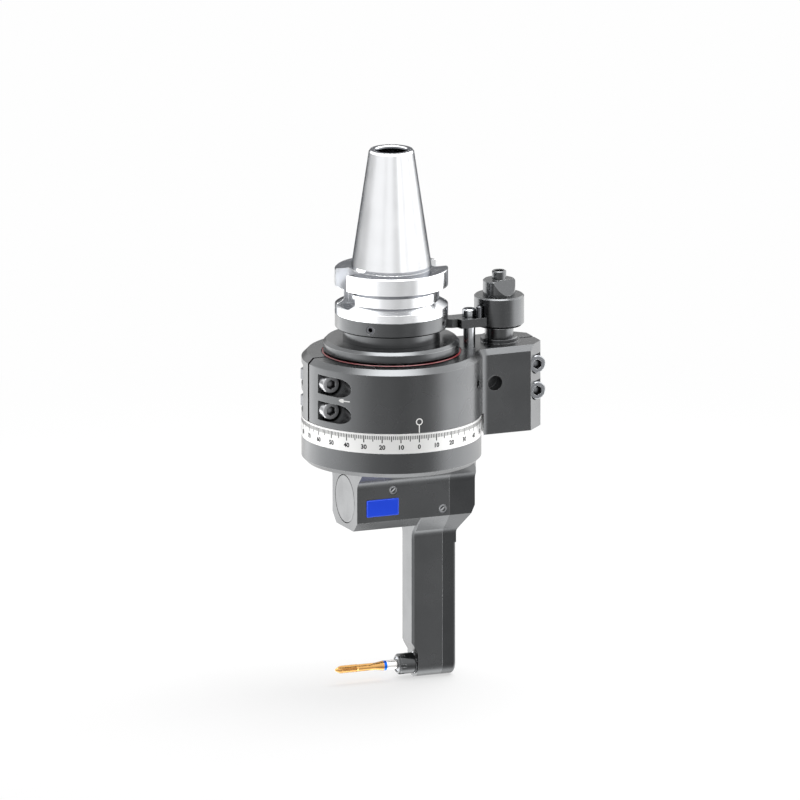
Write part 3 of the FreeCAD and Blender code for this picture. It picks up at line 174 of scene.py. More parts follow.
def turned_metal(name, colour, worn, roughness, axis=SPINDLE_AXIS, spread=0.10, bump=0.012, rim="ffffff",
                 metallic=1.0, bore_shade=None):
    """Finish with marks about a lathe axis.

    worn is its colour on edges, rim its tint at a flat angle, and the last argument a (radius, colour) pair of
    painted shade inside a hole near the axis.
    """
    material, tree, output = new_finish(name)
    where = lathe_coordinates(tree, *axis)
    marks = add(tree, "TexNoise", {"Scale": 1 / MARK_SPACING, "Detail": 2.0, "Roughness": 0.6},
                {"Vector": where}, noise_dimensions="2D").outputs[0]
    patches = add(tree, "TexNoise", {"Scale": 1 / PATCH_SIZE, "Detail": 3.0},
                  {"Vector": add(tree, "TexCoord").outputs["Object"]}).outputs[0]
    rounded, edge = edge_wear(tree)
    darker = [c * (1 - spread) for c in linear(colour)[:3]] + [1.0]
    lighter = [min(1.0, c * (1 + spread)) for c in linear(colour)[:3]] + [1.0]
    body = add(tree, "Mix", {"A": darker, "B": lighter}, {"Factor": marks}, data_type="RGBA")
    tone = add(tree, "Mix", {"B": linear(worn)}, {"Factor": edge, "A": body.outputs["Result"]}, data_type="RGBA")
    # Inside the given radius the colour is darker: painted shade of the hole near the axis.
    if bore_shade:
        radius = add(tree, "SeparateXYZ", links={"Vector": where}).outputs["X"]
        in_bore_shade = add(tree, "Math", {1: bore_shade[0]}, {0: radius}, operation="LESS_THAN").outputs[0]
        tone = add(tree, "Mix", {"B": linear(bore_shade[1])}, {"Factor": in_bore_shade, "A": tone.outputs["Result"]},
                   data_type="RGBA")
    rough = add(tree, "MapRange", {"From Min": 0.3, "From Max": 0.7, "To Min": roughness - 0.04,
                                   "To Max": roughness + 0.04}, {"Value": patches}).outputs["Result"]
    relief = add(tree, "Bump", {"Strength": 0.6, "Distance": bump * MM},
                 {"Height": marks, "Normal": rounded}).outputs[0]
    shader = add(tree, "BsdfPrincipled", {"Metallic": metallic, "Specular Tint": linear(rim)},
                 {"Base Color": tone.outputs["Result"], "Roughness": rough, "Normal": relief})
    tree.links.new(shader.outputs[0], output.inputs[0])
    print("finish", name)
    return material


# %% [markdown]
# The shank is case-hardened alloy steel, ground all over after hardening. Grinding leaves a bright, very even
# grey with a soft streak of light down the cone. Its colour is light because steel reflects over half the
# light, and its roughness is moderate: the cone must grip by friction, so it isn't mirror polished. Near the
# axis, in the threaded bore for the pull stud, the colour is darker: painted shade inside the hole.

# %% Ground alloy steel
# The darker colour within 8.9 mm of the axis is painted shade inside the pull stud's bore.
ground_steel = turned_metal("ground_alloy_steel", "e4e5e7", "f2f2f2", 0.19, spread=0.02, bump=0.002,
                            rim="5c5e62", bore_shade=(8.9 * MM, "5c5e61"))
pin_steel = turned_metal("ground_pin_steel", "b4b6b9", "d8d8d8", 0.20, axis=PIN_AXIS, spread=0.04, bump=0.004,
                         rim="3c3d40")

# %% [markdown]
# The lock ring, the neck, the flinger and the pin's pieces are alloy steel with a chemical black finish, called
# black oxide. It is a thin layer that still reflects like metal, so it looks dark grey and satin rather than
# painted, and it wears to a lighter grey where hands and tools touch the edges.

# %% Black oxide on turned steel
black_oxide = turned_metal("black_oxide_turned", "505152", "8e8f90", 0.24, bump=0.006)
black_oxide_pin = turned_metal("black_oxide_pin", "505152", "8e8f90", 0.24, axis=PIN_AXIS, bump=0.006)
black_oxide_output = turned_metal("black_oxide_collet_nut", "4a4b4c", "8e8f90", 0.18, axis=OUTPUT_AXIS, bump=0.004)

# %% [markdown]
# The head body, the clamp ring and the gear case are milled and ground, then nitrided and blackened. That gives
# an even gunmetal grey with a faint grain from the ground surface under it. The grain has no direction, so
# it is a noise at 0.35 mm, and a second noise of about 20 mm varies the sheen as handling oil does.

# %% Nitrided steel housing
GRAIN = 0.35 * MM
SHEEN_SIZE = 20 * MM
RECESS_REACH = 2.5 * MM


def blackened_housing(name, colour, worn, roughness, recess_shade=None):
    """Even, dark metallic finish of milled housings; the last argument, if given, is the colour of painted shade in
    sockets and other closed places.
    """
    material, tree, output = new_finish(name)
    place = add(tree, "TexCoord").outputs["Object"]
    grain = add(tree, "TexNoise", {"Scale": 1 / GRAIN, "Detail": 2.0}, {"Vector": place}).outputs[0]
    sheen = add(tree, "TexNoise", {"Scale": 1 / SHEEN_SIZE, "Detail": 2.0}, {"Vector": place}).outputs[0]
    rounded, edge = edge_wear(tree)
    plain = [c * 0.94 for c in linear(colour)[:3]] + [1.0]
    rich = [c * 1.06 for c in linear(colour)[:3]] + [1.0]
    body = add(tree, "Mix", {"A": plain, "B": rich}, {"Factor": grain}, data_type="RGBA")
    tone = add(tree, "Mix", {"B": linear(worn)}, {"Factor": edge, "A": body.outputs["Result"]}, data_type="RGBA")
    # Painted shade: where the Ambient Occlusion node finds a closed place, the colour turns to the given dark one.
    if recess_shade:
        openness = add(tree, "AmbientOcclusion", {"Distance": RECESS_REACH}, samples=8, only_local=True).outputs["AO"]
        wipe_and_shade_factor = add(tree, "MapRange", {"From Min": 0.55, "From Max": 0.85}, {"Value": openness}).outputs["Result"]
        tone = add(tree, "Mix", {"A": linear(recess_shade)}, {"Factor": wipe_and_shade_factor, "B": tone.outputs["Result"]},
                   data_type="RGBA")
    rough = add(tree, "MapRange", {"From Min": 0.3, "From Max": 0.7, "To Min": roughness - 0.03,
                                   "To Max": roughness + 0.04}, {"Value": sheen}).outputs["Result"]
    relief = add(tree, "Bump", {"Strength": 0.35, "Distance": 0.01 * MM},
                 {"Height": grain, "Normal": rounded}).outputs[0]
    shader = add(tree, "BsdfPrincipled", {"Metallic": 1.0},
                 {"Base Color": tone.outputs["Result"], "Roughness": rough, "Normal": relief})
    tree.links.new(shader.outputs[0], output.inputs[0])
    print("finish", name)
    return material


housing = blackened_housing("nitrided_steel_housing", "4f5051", "6e6f70", 0.26)
cover_housing = blackened_housing("nitrided_steel_cover", "404142", "58595a", 0.26)

# %% [markdown]
# The graduated ring is aluminium with a matt silver anodised surface. It must be read in any light, so it is
# almost white and scatters what it reflects. Anodising hides most tool marks, so they are very faint.

# %% Matt anodised aluminium
anodised_ring = turned_metal("matt_anodised_aluminium", "dcdcdb", "ececeb", 0.38, spread=0.02, bump=0.003,
                             metallic=0.3)

# %% [markdown]
# Screws, nuts and plugs are bought hardened steel with a thin zinc or oil-black layer. On this head the clamp
# screws look mid grey with dark sockets. The finish is isotropic, because the heads are forged. The dark sockets
# are painted shade: the Ambient Occlusion node measures how open a point is, and closed ones turn near black.

# %% Screw steel
# The near-black colours below are painted shade in the sockets and other closed places.
screw_steel = blackened_housing("oiled_screw_steel", "7e8083", "b4b5b7", 0.28, recess_shade="1c1c1d")
bright_screw_steel = blackened_housing("zinc_plated_screw_steel", "a6a7a9", "c2c2c3", 0.32, recess_shade="1c1c1d")
dark_screw_steel = blackened_housing("blackened_screw_steel", "56575a", "8e8f90", 0.28, recess_shade="161617")
gear_steel = turned_metal("ground_gear_steel", "b9babc", "dcdcdc", 0.26)
bearing_steel = turned_metal("lapped_bearing_steel", "d6d7d9", "f0f0f0", 0.14, spread=0.02)
spring_steel = blackened_housing("drawn_spring_steel", "8e9094", "c0c1c3", 0.28)

# %% [markdown]
# The seal round the neck is red nitrile rubber. Moulded rubber is matt, with a soft highlight, and its surface
# copies the mould's fine texture. It is a dielectric, so its metallic value stays at zero.

# %% Red nitrile rubber
def moulded_rubber(name, colour):
    """Matt rubber with the fine grain of its mould."""
    material, tree, output = new_finish(name)
    place = add(tree, "TexCoord").outputs["Object"]
    grain = add(tree, "TexNoise", {"Scale": 1 / (0.3 * MM), "Detail": 3.0}, {"Vector": place}).outputs[0]
    dull = [c * 0.8 for c in linear(colour)[:3]] + [1.0]
    tone = add(tree, "Mix", {"A": dull, "B": linear(colour)}, {"Factor": grain}, data_type="RGBA")
    relief = add(tree, "Bump", {"Strength": 0.5, "Distance": 0.02 * MM}, {"Height": grain}).outputs[0]
    shader = add(tree, "BsdfPrincipled", {"Roughness": 0.3, "IOR": 1.52},
                 {"Base Color": tone.outputs["Result"], "Normal": relief})
    tree.links.new(shader.outputs[0], output.inputs[0])
    print("finish", name)
    return material


seal_rubber = moulded_rubber("nitrile_rubber_red", "8c2429")

# %% [markdown]
# The tap is high-speed steel. Its cutting end has a gold titanium nitride coating, a thin ceramic layer that
# reflects like gold metal, then comes a blue marking band, and the shank is bare ground steel. The place
# along the tap decides which of the three is seen, so one finish with two steps does it.

# %% Coated tap
BAND_LEFT, BAND_RIGHT = -5.2 * MM, -3.5 * MM


def coated_tap():
    """Gold coating, blue band and bare steel along the tap."""
    material, tree, output = new_finish("titanium_nitride_on_tool_steel")
    marks = add(tree, "TexNoise", {"Scale": 1 / (0.4 * MM), "Detail": 2.0},
                {"Vector": lathe_coordinates(tree, *OUTPUT_AXIS)}, noise_dimensions="2D").outputs[0]
    place = add(tree, "SeparateXYZ", links={"Vector": add(tree, "TexCoord").outputs["Object"]}).outputs["X"]
    in_band = add(tree, "Math", {1: BAND_LEFT}, {0: place}, operation="GREATER_THAN").outputs[0]
    past_band = add(tree, "Math", {1: BAND_RIGHT}, {0: place}, operation="GREATER_THAN").outputs[0]
    gold = add(tree, "Mix", {"A": linear("ab7c43"), "B": linear("cda46a")}, {"Factor": marks}, data_type="RGBA")
    banded = add(tree, "Mix", {"B": linear("1c62c8")}, {"Factor": in_band, "A": gold.outputs["Result"]},
                 data_type="RGBA")
    tone = add(tree, "Mix", {"B": linear("dad8d6")}, {"Factor": past_band, "A": banded.outputs["Result"]},
               data_type="RGBA")
    relief = add(tree, "Bump", {"Strength": 0.4, "Distance": 0.008 * MM}, {"Height": marks}).outputs[0]
    shader = add(tree, "BsdfPrincipled", {"Metallic": 1.0, "Roughness": 0.24},
                 {"Base Color": tone.outputs["Result"], "Normal": relief})
    tree.links.new(shader.outputs[0], output.inputs[0])
    print("finish titanium_nitride_on_tool_steel")
    return material


tap_coating = coated_tap()

# %% [markdown]
# Each node of the model names a slot in the record, and each slot has a usual finish. A few nodes differ from
# their slot, because their marks run about another axis or their finish is lighter or darker on this head, so a
# second table names those.

# %% Give every CAD node its finish
SLOT_FINISH = {
    "ground_steel": ground_steel, "black_oxide": black_oxide, "black_body": housing,
    "screw_steel": screw_steel, "gear_steel": gear_steel, "bearing_steel": bearing_steel,
    "seal_rubber": seal_rubber, "scale_white": anodised_ring, "tap_coating": tap_coating,
    "spring_steel": spring_steel,
}
NODE_FINISH = {
    "guide_post": pin_steel, "lever_dowel": dark_screw_steel, "gear_case_cover": cover_housing,
    "pin_core": black_oxide_pin, "pin_sleeve": black_oxide_pin, "pin_bush": black_oxide_pin,
    "lock_lever": housing, "collet_nut": black_oxide_output,
    "collet": pin_steel, "head_body": housing, "clamp_ring": housing, "clamp_screws": bright_screw_steel,
    "clamp_nuts": dark_screw_steel, "lock_ring_screws": dark_screw_steel, "pin_retaining_ring": bearing_steel,
}
for part in frame["record"]["subparts"]:
    finish = NODE_FINISH.get(part["node"], SLOT_FINISH[part["material_slot"]])
    mesh = frame["nodes"][part["node"]].data
    mesh.materials.clear()
    mesh.materials.append(finish)

# %% [markdown]
# A mark on a round ring has to follow its curve. It is drawn flat first, with x along the rim and y up, and
# each point is then wrapped to its azimuth. Azimuth 0 is the front and grows towards the locating pin.

# %% Wrap flat points round the spindle axis
LIFT = 0.02 * MM


def wrapped(x, y, radius, azimuth, base):
    """Point at x along the rim from an azimuth in radians and y above base."""
    angle = azimuth + x / radius
    return Vector(((radius + LIFT) * math.sin(angle), -(radius + LIFT) * math.cos(angle), base + y))


def mesh_piece(name, points, faces, material, body, sharp_from=None):
    """A new mesh piece that rides on a body; with an angle in degrees, flatter joins are shaded smooth."""
    mesh = bpy.data.meshes.new(name)
    mesh.from_pydata(points, [], faces)
    mesh.materials.append(material)
    if sharp_from:
        mesh.shade_smooth()
        mesh.set_sharp_from_angle(angle=math.radians(sharp_from))
    piece = bpy.data.objects.new(name, mesh)
    bpy.context.scene.collection.objects.link(piece)
    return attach(piece, body)


# %% [markdown]
# The ink in the engraving is matt black stoving enamel, wiped into the cuts. The marks of the clamp ring are
# filled with white. Enamel is a dielectric, with a slight unevenness where the wiping thinned it.

# %% Enamel that fills the engraving
def filled_enamel(name, colour):
    """Matt enamel in an engraved line."""
    material, tree, output = new_finish(name)
    place = add(tree, "TexCoord").outputs["Object"]
    wipe_and_shade_factor = add(tree, "TexNoise", {"Scale": 1 / (0.8 * MM), "Detail": 2.0}, {"Vector": place}).outputs[0]
    thin = [c * 0.9 + 0.01 for c in linear(colour)[:3]] + [1.0]
    tone = add(tree, "Mix", {"A": linear(colour), "B": thin}, {"Factor": wipe_and_shade_factor}, data_type="RGBA")
    shader = add(tree, "BsdfPrincipled", {"Roughness": 0.8, "IOR": 1.5, "Specular IOR Level": 0.12},
                 {"Base Color": tone.outputs["Result"]})
    tree.links.new(shader.outputs[0], output.inputs[0])
    return material


black_enamel = filled_enamel("stoving_enamel_black", "111214")
white_enamel = filled_enamel("stoving_enamel_white", "f4f4f2")

# %% [markdown]
# The ring has three hundred divisions. Every fifth line is longer and every tenth is longest, so the eye can
# count them. All lines hang from one height near the ring's top edge and are as wide as a graver's cut.

# %% Graduations
DIVISIONS = 300
ZERO_AZIMUTH = math.radians(-4.9)
SCALE_TOP = RING_TOP - 1.1 * MM
LINE_LENGTHS = {10: 4.0 * MM, 5: 3.2 * MM, 1: 2.1 * MM}
LINE_WIDTHS = {10: 0.6 * MM, 5: 0.52 * MM, 1: 0.46 * MM}
line_points, line_faces = [], []
for division in range(DIVISIONS):
    step = next(s for s in (10, 5, 1) if division % s == 0)
    azimuth = ZERO_AZIMUTH + math.tau * division / DIVISIONS
    half, first = LINE_WIDTHS[step] / 2, len(line_points)
    corners = ((-half, -LINE_LENGTHS[step]), (half, -LINE_LENGTHS[step]), (half, 0), (-half, 0))
    line_points += [wrapped(x, y, RING_RADIUS, azimuth, SCALE_TOP) for x, y in corners]
    line_faces.append(tuple(range(first, first + 4)))
graduations = mesh_piece("scale_graduations", line_points, line_faces, black_enamel, "head")
print("graduations:", len(line_faces))

# %% [markdown]
# The numerals count tens both ways from zero, so the head can be set left or right of its mark. Blender's own
# font is turned into a mesh and wrapped round the ring as the lines are.

# %% Numerals
NUMERAL_HEIGHT = 2.5 * MM
NUMERAL_MIDDLE = RING_TOP - 7.7 * MM


def flat_text(words, height):
    """Points and faces of words, centred on the origin, height tall."""
    curve = bpy.data.curves.new("numeral", "FONT")
    curve.body, curve.align_x, curve.align_y = words, "CENTER", "CENTER"
    curve.size, curve.offset = height * 1.38, height * 0.055
    curve.resolution_u = 3
    holder = bpy.data.objects.new("numeral", curve)
    mesh = bpy.data.meshes.new_from_object(holder)
    points = [v.co.xy.copy() for v in mesh.vertices]
    faces = [tuple(p.vertices) for p in mesh.polygons]
    bpy.data.objects.remove(holder)
    bpy.data.meshes.remove(mesh)
    return points, faces


numeral_points, numeral_faces = [], []
for ten in range(DIVISIONS // 10):
    signed = ten if ten <= DIVISIONS // 20 else ten - DIVISIONS // 10
    flat, triangles = flat_text(str(abs(signed) * 10), NUMERAL_HEIGHT)
    azimuth = ZERO_AZIMUTH + math.tau * 10 * signed / DIVISIONS
    first = len(numeral_points)
    numeral_points += [wrapped(p.x, p.y, RING_RADIUS, azimuth, NUMERAL_MIDDLE) for p in flat]
    numeral_faces += [tuple(first + i for i in face) for face in triangles]
numerals = mesh_piece("scale_numerals", numeral_points, numeral_faces, black_enamel, "head")
print("numeral faces:", len(numeral_faces))

# %% [markdown]
# The clamp ring carries the index: a small circle and a line down to the ring's lower edge, filled with white.
# It rides on the stop body, so when the head is swivelled the scale turns past it.

# %% Index mark
CLAMP_RADIUS = -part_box("clamp_ring")[0].x
CLAMP_EDGE = RING_TOP + 0.3 * MM
INDEX_RADIUS, INDEX_WIDTH, INDEX_RISE = 1.7 * MM, 0.6 * MM, 6.3 * MM
CIRCLE_STEPS = 32
index_points, index_faces = [], []
for i in range(CIRCLE_STEPS):
    turn = math.tau * i / CIRCLE_STEPS
    for r in (INDEX_RADIUS - INDEX_WIDTH / 2, INDEX_RADIUS + INDEX_WIDTH / 2):
        index_points.append(wrapped(r * math.sin(turn), INDEX_RISE + r * math.cos(turn),
                                    CLAMP_RADIUS, ZERO_AZIMUTH, CLAMP_EDGE))
for i in range(CIRCLE_STEPS):
    a, b = 2 * i, 2 * ((i + 1) % CIRCLE_STEPS)
    index_faces.append((a, a + 1, b + 1, b))
first = len(index_points)
line_top, half = INDEX_RISE - INDEX_RADIUS, INDEX_WIDTH / 2
for x, y in ((-half, 0), (half, 0), (half, line_top), (-half, line_top)):
    index_points.append(wrapped(x, y, CLAMP_RADIUS, ZERO_AZIMUTH, CLAMP_EDGE))
index_faces.append(tuple(range(first, first + 4)))
index_mark = mesh_piece("index_mark", index_points, index_faces, white_enamel, "stop")
print("index faces:", len(index_faces))

# %% [markdown]
# Between the two clamp screws a plain white arrow points at them, so that the fitter knows which ones lock the
# swivel. It is drawn as a row of half widths along its length, so each short slice follows the ring's curve.

# %% Arrow to the clamp screws
ARROW_TIP, ARROW_HEIGHT = math.radians(-58.9), -68.4 * MM
ARROW_HALF_WIDTHS = [(0, 0.02), (0.5, 0.5), (1.2, 0.9), (2.2, 1.05), (3.3, 1.1), (3.35, 0.32), (4.3, 0.32),
                     (5.3, 0.32), (6.3, 0.32), (7.3, 0.32)]
arrow_points = [wrapped(x * MM, side * half * MM, CLAMP_RADIUS, ARROW_TIP, ARROW_HEIGHT)
                for x, half in ARROW_HALF_WIDTHS for side in (-1, 1)]
arrow_faces = [(i, i + 2, i + 3, i + 1) for i in range(0, 2 * len(ARROW_HALF_WIDTHS) - 2, 2)]
arrow = mesh_piece("clamp_arrow", arrow_points, arrow_faces, white_enamel, "stop")
print("arrow faces:", len(arrow_faces))

# %% [markdown]
# On the front of the gear case is a thin identification plate of blue anodised aluminium. Here it is left
# blank, with a raised border, because a plate of this kind is stamped later. A sheet plate has rounded
# corners and a slightly domed edge, so it is built as a small stack of outlines, each a little smaller.

# %% Blank plate
CASE_FRONT = -17.5 * MM
PLATE_LEFT, PLATE_RIGHT, PLATE_LOW, PLATE_HIGH = -22.5 * MM, -3.1 * MM, -139.1 * MM, -129.4 * MM
PLATE_THICKNESS, PLATE_CORNER = 0.35 * MM, 0.8 * MM


def rounded_outline(inset, y):
    """Outline of the plate, inset all round, in the plane y."""
    corners = [(PLATE_RIGHT, PLATE_HIGH, 0), (PLATE_LEFT, PLATE_HIGH, 90),
               (PLATE_LEFT, PLATE_LOW, 180), (PLATE_RIGHT, PLATE_LOW, 270)]
    points = []
    for x, z, start in corners:
        cx = x - math.copysign(PLATE_CORNER, x - (PLATE_LEFT + PLATE_RIGHT) / 2)
        cz = z - math.copysign(PLATE_CORNER, z - (PLATE_LOW + PLATE_HIGH) / 2)
        for step in range(6):
            angle = math.radians(start + 18 * step)
            reach = PLATE_CORNER - inset
            points.append(Vector((cx + reach * math.cos(angle), y, cz + reach * math.sin(angle))))
    return points


def stacked_plate(name, layers, material, body):
    """Closed front of nested outlines, given as (inset, height above the case front)."""
    points, faces = [], []
    for inset, height in layers:
        points += rounded_outline(inset, CASE_FRONT - height)
    count = len(points) // len(layers)
    for ring in range(len(layers) - 1):
        for i in range(count):
            a, b = ring * count + i, ring * count + (i + 1) % count
            faces.append((a, b, b + count, a + count))
    faces.append(tuple(range((len(layers) - 1) * count, len(layers) * count)))
    return mesh_piece(name, points, faces, material, body)


blue_plate = turned_metal("blue_anodised_aluminium", "2444c4", "4c68da", 0.36, spread=0.03, bump=0.004)
plate = stacked_plate("blank_plate", [
    (0, 0.0), (0, PLATE_THICKNESS * 0.7), (0.1 * MM, PLATE_THICKNESS), (0.45 * MM, PLATE_THICKNESS),
    (0.52 * MM, PLATE_THICKNESS * 0.7)], blue_plate, "head")
print("plate faces:", len(plate.data.polygons))

# %% [markdown]
# Turned pieces with a detail that a plain turning lacks are built from rings of points. A ring is one step along
# the piece, its neighbours are joined by four-sided faces, and a flat face closes each end.

# %% Rings of points into a closed piece
def ringed_piece(name, rings, material, body, sharp_from):
    """Closed mesh through rings that all have the same number of points."""
    count, points = len(rings[0]), [point for ring in rings for point in ring]
    faces = [(r * count + i, r * count + (i + 1) % count, (r + 1) * count + (i + 1) % count, (r + 1) * count + i)
             for r in range(len(rings) - 1) for i in range(count)]
    faces += [tuple(range(count))[::-1], tuple(range(len(points) - count, len(points)))]
    return mesh_piece(name, points, faces, material, body, sharp_from)


# %% [markdown]
# The tap cuts an M4.5 thread. Its teeth are a 0.75 mm helix, cut by three straight flutes that carry the chips
# out. Each point's distance from the axis is the least of three: the turned outline, the thread's groove and
# the wall of a flute. One rule for all points gives sharp teeth that end where a flute cuts them.

# %% Threaded tap
TAP_STEPS = 144
THREAD_PITCH, THREAD_DEPTH = 0.75, 0.38
THREAD_END, NECK_START, FLUTE_FADE, FLUTE_END = -21.4, -20.6, -13.5, -9.8
TAP_OUTLINE = [(-34.0, 0.45), (-33.6, 0.75), (-30.8, 2.25), (THREAD_END, 2.25), (NECK_START, 2.02), (-9.9, 2.02),
               (-5.3, 2.75), (12.4, 2.75)]
FLUTE_RADIUS, FLUTE_PLACE, FLUTES = 0.98, 2.25, 3


def outline_radius(x):
    """Radius of the turned outline at x, all in millimetres."""
    for (x0, r0), (x1, r1) in zip(TAP_OUTLINE, TAP_OUTLINE[1:]):
        if x <= x1:
            return r0 + (r1 - r0) * (x - x0) / (x1 - x0)
    return TAP_OUTLINE[-1][1]


def tap_radius(x, turn):
    """Distance from the axis at x and an angle, after thread and flutes."""
    radius = outline_radius(x)
    if x < THREAD_END:
        phase = (x / THREAD_PITCH - turn / math.tau) % 1.0
        groove = min(1.0, max(0.0, 1.25 - abs(2 * phase - 1) * 1.4))
        radius = min(radius, 2.25 - THREAD_DEPTH * groove)
    fade = min(1.0, max(0.0, (x - FLUTE_FADE) / (FLUTE_END - FLUTE_FADE)))
    place = FLUTE_PLACE + fade * FLUTE_RADIUS
    sector = math.tau / FLUTES
    off = (turn + sector / 2) % sector - sector / 2
    reach = FLUTE_RADIUS ** 2 - (place * math.sin(off)) ** 2
    if x < FLUTE_END and reach > 0:
        radius = min(radius, place * math.cos(off) - math.sqrt(reach))
    return max(radius, 0.3)


tap_places = [-34.0 + 0.1 * i for i in range(136)] + [-20.2 + 0.4 * i for i in range(38)] + [-5.2, -2, 3, 8, 12.4]
tap_rings = [[Vector((x * MM, tap_radius(x, turn) * MM * math.cos(turn),
                      OUTPUT_HEIGHT + tap_radius(x, turn) * MM * math.sin(turn)))
              for turn in (math.tau * i / TAP_STEPS for i in range(TAP_STEPS))] for x in tap_places]
threaded_tap = ringed_piece("threaded_tap", tap_rings, tap_coating, "output", 35)
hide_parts("tap")
print("tap points:", len(threaded_tap.data.vertices))

# %% [markdown]
# Two screw plugs close the oil holes on the front of the gear case. Each has a bright turned rim round a dished
# face, with a bar across it for a key. The rim and the dish are one turned piece, given as pairs of radius and
# depth in millimetres, and the faces inside the rim take the black finish as painted shade of the recessed face.
# The bar is a piece of its own, in lighter steel than the rim: a painted reflection, as of a key slot's bright floor.

# %% Oil plugs
PLUG_PLACES = ((-6.2, -125.0), (23.78, -138.3))
PLUG_PROFILE = [(2.45, -14.5), (2.45, -17.12), (2.28, -17.3), (1.72, -17.3), (1.58, -17.16), (1.52, -16.55),
                (0.4, -16.45)]
PLUG_STEPS, DISH_RING, DISH_FACE_LIMIT, DISH_DEPTH_LIMIT = 48, 4, 8 * MM * MM, -17.0 * MM
BAR_TILT = math.radians(40)
BAR_LAYERS = ((-16.4, 1.45, 0.42), (-16.95, 1.45, 0.42), (-17.05, 1.38, 0.34))
for number, (x, z) in enumerate(PLUG_PLACES, 1):
    rings = [[Vector(((x + r * math.cos(turn)) * MM, y * MM, (z + r * math.sin(turn)) * MM))
              for turn in (math.tau * i / PLUG_STEPS for i in range(PLUG_STEPS))] for r, y in PLUG_PROFILE]
    plug = ringed_piece("oil_plug_%d" % number, rings, screw_steel, "head", 25)
    plug.data.materials.append(black_oxide)
    # The dish faces take the black finish: painted shade of the recessed face.
    for face in plug.data.polygons[PLUG_STEPS * DISH_RING:]:
        in_shaded_dish = face.center.y > DISH_DEPTH_LIMIT and face.area < DISH_FACE_LIMIT
        face.material_index = 1 if in_shaded_dish else 0
    bar_rings = []
    for y, length, width in BAR_LAYERS:
        corners = ((length, width), (-length, width), (-length, -width), (length, -width))
        bar_rings.append([Vector(((x + a * math.cos(BAR_TILT) - b * math.sin(BAR_TILT)) * MM, y * MM,
                                  (z + a * math.sin(BAR_TILT) + b * math.cos(BAR_TILT)) * MM)) for a, b in corners])
    # The bar's lighter steel is a painted reflection, as of the bright floor of a key slot.
    bar = ringed_piece("oil_plug_bar_%d" % number, bar_rings, bright_screw_steel, "head", 20)
    if number == 1:
        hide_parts("oil_plugs")
print("oil plugs:", len(PLUG_PLACES))

# %% [markdown]
# Under the locating pin's stem sits a die spring of square wire. The wire's corners are broken, as drawn wire's
# are.

# %% Pin spring
SPRING_TURNS, COIL_STEPS = 4, 36
WIRE_HALF, WIRE_CORNER = 0.6 * MM, 0.42 * MM
spring_low, spring_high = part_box("pin_spring")
COIL_RADIUS = (spring_high.x - spring_low.x) / 2 - WIRE_HALF
WIRE_SECTION = [(-WIRE_CORNER, WIRE_HALF), (WIRE_CORNER, WIRE_HALF), (WIRE_HALF, WIRE_CORNER),
                (WIRE_HALF, -WIRE_CORNER), (WIRE_CORNER, -WIRE_HALF), (-WIRE_CORNER, -WIRE_HALF),
                (-WIRE_HALF, -WIRE_CORNER), (-WIRE_HALF, WIRE_CORNER)]
coil_rings = []
for i in range(SPRING_TURNS * COIL_STEPS + 1):
    turn, share_up = math.tau * i / COIL_STEPS, i / (SPRING_TURNS * COIL_STEPS)
    height = spring_low.z + WIRE_HALF + share_up * (spring_high.z - spring_low.z - 2 * WIRE_HALF)
    coil_rings.append([Vector((PIN_AXIS[1][0] + (COIL_RADIUS + a) * math.cos(turn),
                               (COIL_RADIUS + a) * math.sin(turn), height + b)) for a, b in WIRE_SECTION])
die_spring = ringed_piece("die_spring", coil_rings, spring_steel, "stop", 30)
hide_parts("pin_spring")
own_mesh(die_spring)

# %% [markdown]
# The studio is a pale floor with a soft white surround. The floor keeps the head's soft shadow, and far from the
# head it glows a little for the camera, so it meets the background with no horizon line.

# %% Floor
FLOOR_Z = cad_low.z - 0.15 * MM
FLOOR_SIZE, GLOW_START, GLOW_END = 6.0, 0.12, 0.75
floor_material, floor_tree, floor_output = new_finish("studio_floor")
ray = add(floor_tree, "LightPath")
seen = add(floor_tree, "Math", links={0: ray.outputs["Is Camera Ray"], 1: ray.outputs["Is Glossy Ray"]},
           operation="MAXIMUM").outputs[0]
far = add(floor_tree, "VectorMath", links={0: add(floor_tree, "TexCoord").outputs["Object"]},
          operation="LENGTH").outputs["Value"]
fade = add(floor_tree, "MapRange", {"From Min": GLOW_START, "From Max": GLOW_END, "To Min": 0.55, "To Max": 1.0},
           {"Value": far}, interpolation_type="SMOOTHSTEP").outputs["Result"]
share = add(floor_tree, "Math", links={0: seen, 1: fade}, operation="MULTIPLY").outputs[0]
paper = add(floor_tree, "BsdfDiffuse", {"Color": linear("f4f4f4")})
glow = add(floor_tree, "Emission", {"Color": linear("fefefe"), "Strength": 1.0})
mixed = add(floor_tree, "MixShader", links={0: share, 1: paper.outputs[0], 2: glow.outputs[0]})
floor_tree.links.new(mixed.outputs[0], floor_output.inputs[0])
bpy.ops.mesh.primitive_grid_add(x_subdivisions=8, y_subdivisions=8, size=FLOOR_SIZE, location=(0, 0, FLOOR_Z))
floor = bpy.context.object
floor.name = "studio_floor"
floor.data.materials.append(floor_material)
floor.visible_glossy = False
print("floor at z %.1f mm" % (FLOOR_Z / MM))

# %% [markdown]
# Metal is seen by what it reflects, so the surround is a light tent: white paper in front, a bright panel at
# each side and above, and a darker gap behind. Only reflections see it. The camera sees plain white, and
# matt surfaces get an even light. Brightness is read from curves of the angle round the head, minus to the left
# of the camera and plus to its right: one for the low part, which upright walls reflect, one near the horizon,
# which the cone reflects, and one higher up, which flat tops reflect. Chamfers reflect the panels straight above
# and below. The edges say at which steepness, from -1 to 1, one part fades into the next.

